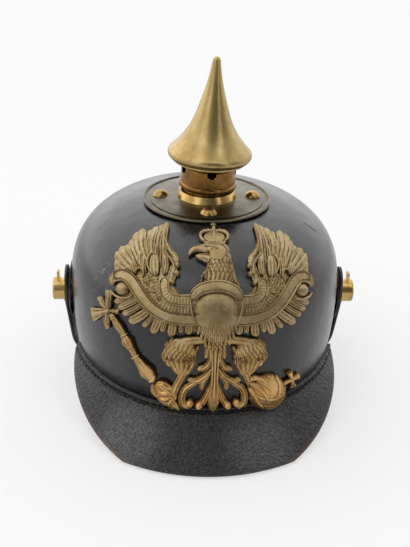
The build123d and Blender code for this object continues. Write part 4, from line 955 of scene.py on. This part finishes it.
def plumes(flat, stations, first, last, rows, pitch, top, lift):
    """Covers a stretch of a form with small overlapping feathers that point along it."""
    line = smooth(stations, plume_steps + 1)
    way = np.gradient(line[:, :2], axis=0)
    way /= np.linalg.norm(way, axis=1, keepdims=True)
    for turn in range(rows):
        place = first + (last - first) * turn / (rows - 1)
        x, y, width, height = line[int(place * plume_steps)]
        along = way[int(place * plume_steps)]
        columns = max(2, round(2 * width / pitch))
        for column in range(columns):
            side = (2 * (column + 0.5 + 0.25 * (-1) ** turn) / columns - 1) * plume_spread
            crown = crowned()(place, side, height)[0]
            root = np.array([x - along[1] * width * side, y + along[0] * width * side])
            turned = along + plume_fan * side * np.array([-along[1], along[0]])
            tip = root + turned * pitch * plume_length
            half = pitch * plume_half
            form = (
                (*root, half * plume_root, crown - plume_sink), (*((root + tip) / 2), half, crown + lift),
                (*tip, half * plume_tip, crown + plume_tip * lift),
            )
            strip(flat, form, top, along=5, across=4)


def build_wing(flat):
    """One wing with its half of the ribbon."""
    strip(flat, wing_field, crowned(0.9), 30, 12)
    strips(flat, primaries, feathered(2, 0.6), 20, 12, lean=-0.35)
    strips(flat, secondaries, feathered(3, 0.6), 14, 14, lean=-0.2)
    strips(flat, leaf_coverts, feathered(3, 0.6, 0.5), 14, 14)
    strips(flat, curls, crowned(0.6), 20, 6)
    strips(flat, wing_edge, feathered(2, 0.5), 18, 10)
    strip(flat, covert_band, barred(22), 120, 10, round_root=False)
    plumes(flat, covert_band[::-1], 0.02, 0.36, 4, 3.0, feathered(2, 0.4), 0.8)
    strip(flat, arm, corded(0.7, 16), 96, 22, round_root=False)
    strip(flat, ribbon, corded(0.9), 60, 30, round_root=False)
    strip(flat, ribbon_end, feathered(2, 0.5), 14, 10)
    strips(flat, boss_loops, crowned(0.6), 18, 6)
    beads(flat, wing_beads)


def build_leg_and_leaves(flat):
    """One leg, and one side of the tail's scrolls."""
    strips(flat, thigh_barbs, feathered(2, 0.7), 18, 10)
    strip(flat, thigh_field, crowned(0.75), 14, 16)
    plumes(flat, thigh_field, 0.1, 0.8, 5, 2.4, feathered(2, 0.4), 0.7)
    strip(flat, thigh_cap, crowned(0.5), 24, 8)
    strip(flat, shank, feathered(2, 0.5), 14, 10)
    strip(flat, stem_tabs, feathered(2, 0.5), 10, 8)
    strips(flat, tail_leaves, feathered(2, 0.7, 0.4), 20, 12)
    strip(flat, stem_rails, crowned(0.6), 24, 6)
    beads(flat, tail_beads)


def mirrored(stations):
    """Stations on the other side of the crown's axis."""
    return [(2 * crown_axis - across, *rest) for across, *rest in stations]


def build_head(flat):
    """Neck, head and crown."""
    strip(flat, neck, crowned(0.35), 18, 16)
    strips(flat, nape, feathered(2, 0.4), 8, 8)
    plumes(flat, neck[::-1], 0.2, 0.84, 9, 2.4, feathered(2, 0.35), 0.6)
    strip(flat, lower_beak, feathered(2, 0.4), 10, 10)
    strip(flat, upper_beak, crowned(), 16, 10)
    strip(flat, cheek, crowned(0.6), 18, 12)
    strip(flat, brow, crowned(0.8), 8, 4)
    beads(flat, [eye], 2)
    strip(flat, crown_field, crowned(0.8), 12, 12)
    strips(flat, (*crown_sides, *map(mirrored, crown_sides), *crown_forms), crowned(), 14, 8)
    beads(flat, (*crown_beads, *crown_side_beads, *mirrored(crown_side_beads)), 2)


def over_orb(flat, stations, lift):
    """Adds a raised form that follows the dome of the orb."""
    for vert in strip(flat, stations, crowned(0.5), 20, 8):
        away = math.hypot(vert.co.x - orb_place[0], vert.co.y - orb_place[1]) / orb_radius
        dome = orb_rise * math.sqrt(max(1 - away**2, orb_rim))
        vert.co.z = dome + lift * (orb_lift + (1 - orb_lift) * vert[flat.verts.layers.float["rise"]])


def build_hands(flat):
    """Sceptre and orb, with the claws that hold them."""
    strip(flat, staff, feathered(3, 0.35, 0.45), 70, 16)
    strips(flat, staff_rings, crowned(0.6), 10, 6)
    strips(flat, acanthus, feathered(3, 0.7, 0.5), 16, 14)
    strips(flat, finial_leaves, feathered(2, 0.6, 0.6), 12, 12, round_tip=False)
    beads(flat, [finial_bead])
    strips(flat, cross_arms, crowned(0.7), 8, 8, round_tip=False)
    beads(flat, [(*orb_place, orb_radius, orb_rise)], 5)
    for stations in orb_bands:
        over_orb(flat, stations, 0.7)
    for stations in orb_claws:
        over_orb(flat, stations, 1.7)
    strips(flat, toes, crowned(), 10, 8)


def build_trunk(flat):
    """Stem of the tail, breast and the band across it."""
    strip(flat, [(x + tail_axis, *rest) for x, *rest in stem], feathered(3, 0.6, 0.5), 34, 20)
    strip(flat, breast, crowned(0.4), 24, 24)
    plumes(flat, breast, 0.52, 0.96, 8, 2.3, crowned(0.6), 0.7)
    strips(flat, chest_rims, crowned(0.6), 18, 6)
    strip(flat, collar_band, corded(0.6), 40, 22)


def built(build, axis=None):
    """Mesh of one group of forms, with its mirror image where an upright axis is given."""
    flat = bmesh.new()
    flat.verts.layers.float.new("rise")
    build(flat)
    if axis is not None:
        bmesh.ops.mirror(flat, geom=flat.verts[:] + flat.edges[:] + flat.faces[:], axis="X", merge_dist=-1)
        bmesh.ops.translate(flat, verts=flat.verts, vec=(axis, 0, 0))
    group = bpy.data.meshes.new("group")
    flat.to_mesh(group)
    flat.free()
    return group


def make_emblem(material):
    """Eagle plate: crisp stamped relief laid on the skull over the CAD plate's outline."""
    relief = bmesh.new()
    for build, axis in (
        (build_leg_and_leaves, tail_axis), (build_wing, 0), (build_trunk, None), (build_head, None),
        (build_hands, None),
    ):
        group = built(build, axis)
        relief.from_mesh(group)
        bpy.data.meshes.remove(group)
    bmesh.ops.recalc_face_normals(relief, faces=relief.faces)
    points = np.array([v.co for v in relief.verts]) + np.array([emblem_shift, 0, 0])
    for vert, place in zip(relief.verts, over_visor(laid(points * mm))):
        vert.co = place
    piece = finished(relief, "eagle_relief", material)
    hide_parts("eagle_plate")


# Seams, cockades, strap and lining

def stitch(mesh, place, along, out):
    """Adds one stitch of thread, half sunk in the leather."""
    across = out.cross(along)
    half = thread_width / 2
    shape = Matrix((along * stitch_length / 2, across * half, out * half)).transposed()
    matrix = Matrix.Translation(place) @ shape.to_4x4()
    bmesh.ops.create_uvsphere(mesh, u_segments=8, v_segments=5, radius=1, matrix=matrix)


def oval_seam(mesh, radius, level, out_rise, first, last):
    """Adds stitches along the oval of the skull, between two plan angles."""
    turn = first
    while turn < last:
        place = Vector((radius * math.cos(turn), radius * length_ratio * math.sin(turn), level))
        along = Vector((-math.sin(turn), length_ratio * math.cos(turn), 0))
        turn += stitch_pitch / (radius * along.length)
        along.normalize()
        flat_out = Vector((along.y, -along.x, 0))
        out = (flat_out * math.cos(out_rise) + Vector((0, 0, math.sin(out_rise)))).normalized()
        stitch(mesh, place, along, out)


def make_peak_seam(name, middle, material):
    """Row of stitches that holds the visor or the guard to the skull, just below the bend."""
    mesh = bmesh.new()
    radius = bend_radius + seam_place * math.cos(peak_slope) + peak_leather * math.sin(peak_slope)
    half = math.pi / 2 - math.asin((peak_corner + stitch_pitch) / (radius * length_ratio))
    oval_seam(mesh, radius, seam_level, math.pi / 2 - peak_slope, middle - half, middle + half)
    finished(mesh, name, material)


def make_cockade(side, sign, material):
    """Dished tin disc with a pleated field and a plain rim."""
    mesh = bmesh.new()
    radii = np.linspace(cockade_bore, cockade_radius, cockade_rows)
    line = [mesh.verts.new((0, radius, 0)) for radius in radii]
    edges = [mesh.edges.new(pair) for pair in zip(line, line[1:])]
    bmesh.ops.spin(
        mesh, geom=line + edges, cent=(0, 0, 0), axis=(1, 0, 0), angle=2 * math.pi,
        steps=4 * pleats, use_merge=True,
    )
    for vert in mesh.verts:
        radius, turn = math.hypot(vert.co.y, vert.co.z), math.atan2(vert.co.z, vert.co.y)
        pleated = pleat_start < radius < pleat_end
        wave = pleat_depth * math.cos(pleats * turn) if pleated else 0
        vert.co.x = cockade_face - cockade_dish * (radius / cockade_radius) ** 2 + wave
    bmesh.ops.recalc_face_normals(mesh, faces=mesh.faces)
    bmesh.ops.solidify(mesh, geom=mesh.faces, thickness=cockade_sheet)
    for vert in mesh.verts:
        vert.co = (min(vert.co.x, cockade_face + pleat_depth) * sign, vert.co.y, vert.co.z + post_level)
    bmesh.ops.recalc_face_normals(mesh, faces=mesh.faces)
    piece = finished(mesh, "pleated_cockade_" + side, material)
    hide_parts("cockade_" + side)


def strap_route(flat_level):
    """Middle line of a strap half from its tail to its inner end, as across and height."""
    foot = flat_level + strap_leather / 2
    line = strap_back + strap_leather / 2
    corner = line - (strap_lean_start - foot) * math.tan(strap_lean)
    half_turn = (math.pi / 2 - strap_lean) / 2
    arc_end = corner - strap_bend * math.tan(half_turn)
    route = [(line, strap_top), (line, strap_lean_start)]
    for share in np.linspace(0, 1, strap_bend_rows):
        turn = -strap_lean - share * (math.pi / 2 - strap_lean)
        route.append((arc_end + strap_bend * math.cos(turn), foot + strap_bend + strap_bend * math.sin(turn)))
    return np.array([*route, (-strap_end, foot)])


def cut_round(mesh, middle, radius, depth):
    """Cuts a round hole through both faces of a flat leather that is square to X."""
    centre = Vector(middle)
    near = [f for f in mesh.faces if (f.calc_center_median().yz - centre).length < radius]
    bmesh.ops.delete(mesh, geom=near, context="FACES")
    rim = [e for e in mesh.edges if e.is_boundary]
    for vert in {v for e in rim for v in e.verts}:
        across, rise = vert.co.y - middle[0], vert.co.z - middle[1]
        size = radius / math.hypot(across, rise)
        vert.co.y, vert.co.z = middle[0] + across * size, middle[1] + rise * size
        vert.co.x = depth[0] if abs(vert.co.x - depth[0]) < abs(vert.co.x - depth[1]) else depth[1]
    bmesh.ops.bridge_loops(mesh, edges=rim)


def make_strap(side, sign, material):
    """Flat black strap with round ends, rounded edges and a crease pressed along each edge."""
    route = strap_route(strap_levels[side])
    lengths = np.append(0, np.cumsum(np.linalg.norm(np.diff(route, axis=0), axis=1)))
    mesh = bmesh.new()
    made = bmesh.ops.create_grid(mesh, x_segments=strap_rows, y_segments=strap_columns, size=1)
    for vert in made["verts"]:
        share = vert.co.x / 2 + 0.5
        gone = (share - math.sin(2 * math.pi * share) / (4 * math.pi)) * lengths[-1]
        near_end = min(gone, lengths[-1] - gone, strap_half)
        half = max(math.sqrt(strap_half**2 - (strap_half - near_end) ** 2), strap_tip)
        before, (x, z), after = (
            np.array([np.interp(at, lengths, route[:, i]) for i in (0, 1)])
            for at in (max(gone - mm, 0), gone, min(gone + mm, lengths[-1]))
        )
        way = (after - before) / np.linalg.norm(after - before)
        face = 1 if vert.co.y > 0 else -1
        across = half * math.sin(math.pi * (abs(vert.co.y) - 0.5))
        inset = half - abs(across)
        edge = min(strap_edge, half)
        lift = strap_leather / 2 * math.sqrt(max(1 - max(1 - inset / edge, 0) ** 2, 0))
        if face > 0:
            lift -= strap_crease_depth * math.exp(-(((inset - strap_crease) / strap_crease_width) ** 2))
        vert.co = (x - way[1] * lift * face, across, z + way[0] * lift * face)
    bmesh.ops.remove_doubles(mesh, verts=mesh.verts, dist=weld)
    bmesh.ops.holes_fill(mesh, edges=[e for e in mesh.edges if e.is_boundary], sides=100)
    cut_round(mesh, (0, post_level), strap_bore, (strap_back, strap_back + strap_leather))
    bmesh.ops.scale(mesh, verts=mesh.verts, vec=(sign, 1, 1))
    bmesh.ops.recalc_face_normals(mesh, faces=mesh.faces)
    piece = finished(mesh, "leather_strap_" + side, material, "chinstrap")
    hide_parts("chinstrap_" + side)


def lining_line(distance, shares):
    """Radius and height along the lining from its foot up, at a distance in from its back."""
    foot = half_width * float(skull_share(np.array(liner_foot))) - skull_leather - soft_gap
    waist = (liner_waist, (liner_foot + liner_top) / 2)
    marks = np.array([(foot, liner_foot), waist, (liner_crown, liner_top)])
    marks -= distance * np.array([(1, 0), (1, 0), (1, 1)])
    ways = np.array([(0, liner_upward), (marks[2] - marks[0]) / 2, (-liner_inward, liner_inward)])
    place = np.clip(2 * np.asarray(shares, float), 0, 2)
    first = np.minimum(place.astype(int), 1)
    t = (place - first)[:, None]
    start, end, out, into = marks[first], marks[first + 1], ways[first], ways[first + 1]
    bend = start - end
    return start + out * t - (3 * bend + 2 * out + into) * t**2 + (2 * bend + out + into) * t**3


def make_lining(material):
    """Soft leather lining: its upper half is slit into tongues that curl a little and have an eyelet each."""
    mesh = bmesh.new()
    around = tongues * (tongue_columns + 1)
    grid = bmesh.ops.create_grid(mesh, x_segments=around, y_segments=liner_rows, size=1)["verts"]
    columns = [round((v.co.x / 2 + 0.5) * around) for v in grid]
    line = lining_line(liner_sheet / 2, [v.co.y / 2 + 0.5 for v in grid])
    step = 2 * math.pi / tongues
    spots = [None] * tongues
    column_of = {}
    for vert, column, (radius, level) in zip(grid, columns, line):
        tongue, place = divmod(column - 1, tongue_columns + 1)
        side = 2 * place / tongue_columns - 1
        free = max(level - tongue_root, 0) / (liner_top - tongue_root)
        gap = slit_foot + (slit_head - slit_foot) * free if free > 0 else slit_root
        turn = step * tongue + side * (step / 2 - gap / radius)
        waver = tongue_waver * math.sin(waver_step * tongue + waver_turn * free)
        radius -= max(tongue_curl * free * (side**2 + waver), 0)
        vert.co = (radius * math.cos(turn), radius * length_ratio * math.sin(turn), level)
        column_of[vert] = column
        if 2 * place == tongue_columns:
            spot = spots[tongue]
            if spot is None or abs(level - eyelet_level) < abs(spot.co.z - eyelet_level):
                spots[tongue] = vert
    slits = []
    for face in mesh.faces:
        first = min(column_of[v] for v in face.verts)
        if first % (tongue_columns + 1) == 0 and min(v.co.z for v in face.verts) > tongue_root:
            slits.append(face)
    bmesh.ops.delete(mesh, geom=slits, context="FACES")
    made = bmesh.ops.bevel(
        mesh, geom=spots, offset=eyelet_radius, offset_type="OFFSET", affect="VERTICES", segments=3,
        profile=0.5, material=-1,
    )["faces"]
    bmesh.ops.delete(mesh, geom=made, context="FACES")
    bmesh.ops.remove_doubles(mesh, verts=mesh.verts, dist=eyelet_weld)
    piece = finished(mesh, "leather_lining", material)
    wall = piece.modifiers.new("leather", "SOLIDIFY")
    wall.thickness = liner_sheet
    wall.offset = 0
    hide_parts("liner_tongues")


def make_sweatband(material, thread):
    """Smooth leather sweatband with rounded edges, sewn through the lining near its foot."""
    back = liner_sheet + soft_gap
    shares = np.linspace(0, 0.5, 2 * liner_rows)
    line = lining_line(0, shares)
    foot, seam, top = (
        np.interp(level, line[:, 1], shares)
        for level in (liner_foot + sweatband_edge, sweatband_seam, sweatband_top - sweatband_edge)
    )
    rows = np.linspace(foot, top, sweatband_rows)
    rear, front = (lining_line(back + part, rows) for part in (0, sweatband_sheet))
    middle = (rear + front) / 2
    tip = (0, sweatband_round)
    ring = [*rear, middle[-1] + tip, *front[::-1], middle[0] - tip]
    mesh = bmesh.new()
    verts = [mesh.verts.new((radius, 0, level)) for radius, level in ring]
    edges = [mesh.edges.new(pair) for pair in zip(verts, verts[1:] + verts[:1])]
    bmesh.ops.spin(
        mesh, geom=verts + edges, cent=(0, 0, 0), axis=(0, 0, 1), angle=2 * math.pi,
        steps=sweatband_columns, use_merge=True,
    )
    bmesh.ops.scale(mesh, verts=mesh.verts, vec=(1, length_ratio, 1))
    bmesh.ops.recalc_face_normals(mesh, faces=mesh.faces)
    piece = finished(mesh, "leather_sweatband", material)
    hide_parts("sweatband")
    sewing = bmesh.new()
    radius = lining_line(back + sweatband_sheet, [seam])[0][0]
    oval_seam(sewing, radius, sweatband_seam, 0, 0, 2 * math.pi)
    finished(sewing, "sweatband_stitches", thread)


# Stage

def make_floor(material):
    """Pale floor that runs out of sight on all sides."""
    sweep = bmesh.new()
    bmesh.ops.create_circle(sweep, cap_ends=True, segments=96, radius=floor_radius)
    data = bpy.data.meshes.new("floor")
    sweep.to_mesh(data)
    sweep.free()
    data.materials.append(material)
    floor = bpy.data.objects.new("floor", data)
    bpy.context.scene.collection.objects.link(floor)


def make_camera():
    """Camera at the photo's place, with its angle of view."""
    turn, pitch, roll = (math.radians(angle) for angle in (camera_turn, camera_pitch, camera_roll))
    forward = Vector(
        (-math.sin(turn) * math.cos(pitch), math.cos(turn) * math.cos(pitch), -math.sin(pitch))
    )
    level = Vector((math.cos(turn), math.sin(turn), 0))
    upright = level.cross(forward)
    right = level * math.cos(roll) + upright * math.sin(roll)
    up = upright * math.cos(roll) - level * math.sin(roll)
    data = bpy.data.cameras.new("camera")
    data.sensor_fit = "HORIZONTAL"
    data.sensor_width = sensor_width
    data.lens = focal_pixels * sensor_width / image_width
    camera = bpy.data.objects.new("camera", data)
    turned = Matrix((right, up, -forward)).transposed().to_4x4()
    camera.matrix_world = Matrix.Translation(camera_place) @ turned
    bpy.context.scene.collection.objects.link(camera)
    bpy.context.scene.camera = camera


def make_softbox(name, place, aim, size, power):
    """Square soft light that faces a point."""
    data = bpy.data.lights.new(name, "AREA")
    data.shape = "RECTANGLE"
    data.size, data.size_y = size
    data.energy = power
    light = bpy.data.objects.new(name, data)
    light.location = place
    light.visible_camera = False
    light.rotation_euler = (Vector(aim) - Vector(place)).to_track_quat("-Z", "Y").to_euler()
    bpy.context.scene.collection.objects.link(light)


def make_lights():
    """White studio, brightest behind and to the left, dim behind the camera, with two tall windows."""
    world = bpy.data.worlds.new("white_studio")
    world.use_nodes = True
    tree = world.node_tree
    way = put(tree, "SeparateXYZ", {0: put(tree, "TexCoord", out="Generated")}).node.outputs
    back = put(tree, "MapRange", {0: way["Y"], 1: front_end, 2: back_start, 3: front_light, 4: back_light})
    level = put(tree, "Math", {0: way["X"], 1: -left_light, 2: back}, operation="MULTIPLY_ADD")
    seen = put(tree, "LightPath", out="Is Camera Ray")
    level = put(tree, "Mix", {0: seen, 2: level, 3: seen_light}, data_type="FLOAT")
    tree.nodes["Background"].inputs["Color"].default_value = (1, 1, 1, 1)
    tree.links.new(level, tree.nodes["Background"].inputs["Strength"])
    bpy.context.scene.world = world
    for name, place, width, power in windows:
        make_softbox(name, (*place, window_height / 2), window_aim, (width, window_height), power)


# Everything put on the helmet

liner_finish = tanned_leather("tan_sheepskin", "#8a5f38", "#5d3d22", 0.55)
strap_finish = tanned_leather("black_strap_leather", "#151515", "#2a2826", 0.42)
sweatband_finish = tanned_leather("brown_sweatband_leather", "#6f4526", "#472a18", 0.4)
satin_brass = sheet_brass("satin_spun_brass", "#ae9968", "#967f50", "#6c573a", 0.28, 5, 0.3)
spun_brass = sheet_brass("rubbed_spun_brass", "#cdae70", "#a5854c", "#6c5430", 0.2, 2)
stained_brass = sheet_brass("stained_brass", "#655e4f", "#50493c", "#393226", 0.27)
handled_brass = sheet_brass("handled_brass", "#a98d55", "#85693a", "#4a3820", 0.2)
brown_brass = sheet_brass("brown_brass", "#8d6837", "#6a4a26", "#382717", 0.2)
thread = waxed_thread()
for finish, dressed in (
    (lacquered_cowhide(), ("skull_shell",)),
    (pebbled_cowhide("pebbled_cowhide_green_below", "#27382a"), ("front_visor",)),
    (pebbled_cowhide("pebbled_cowhide_red_below", "#5a2420"), ("neck_guard",)),
    (liner_finish, ("post_washers", "plate_wedges")),
    (stained_brass, ("base_plate",)),
    (handled_brass, ("base_studs",)),
    (satin_brass, ("spike_cone",)),
    (brown_brass, ("spike_neck", "spike_floor", "vent_slider", "post_nuts", "plate_loops")),
    (spun_brass, ("spike_collar", "rear_spine", "spine_stud", "side_post_left", "side_post_right")),
    (spun_brass, ("strap_eyelets", "buckle_left", "buckle_right")),
):
    for node in dressed:
        dress(node, finish)
make_emblem(stamped_brass())
make_peak_seam("visor_stitches", -math.pi / 2, thread)
make_peak_seam("guard_stitches", math.pi / 2, thread)
make_cockade("right", 1, cockade_paint("enamel_black_white_black", cockade_rings["right"]))
make_cockade("left", -1, cockade_paint("enamel_black_white_red", cockade_rings["left"]))
make_strap("right", 1, strap_finish)
make_strap("left", -1, strap_finish)
make_lining(liner_finish)
make_sweatband(sweatband_finish, thread)
make_floor(seamless_paper())
make_lights()
make_camera()
bpy.context.scene.view_settings.view_transform = "Standard"
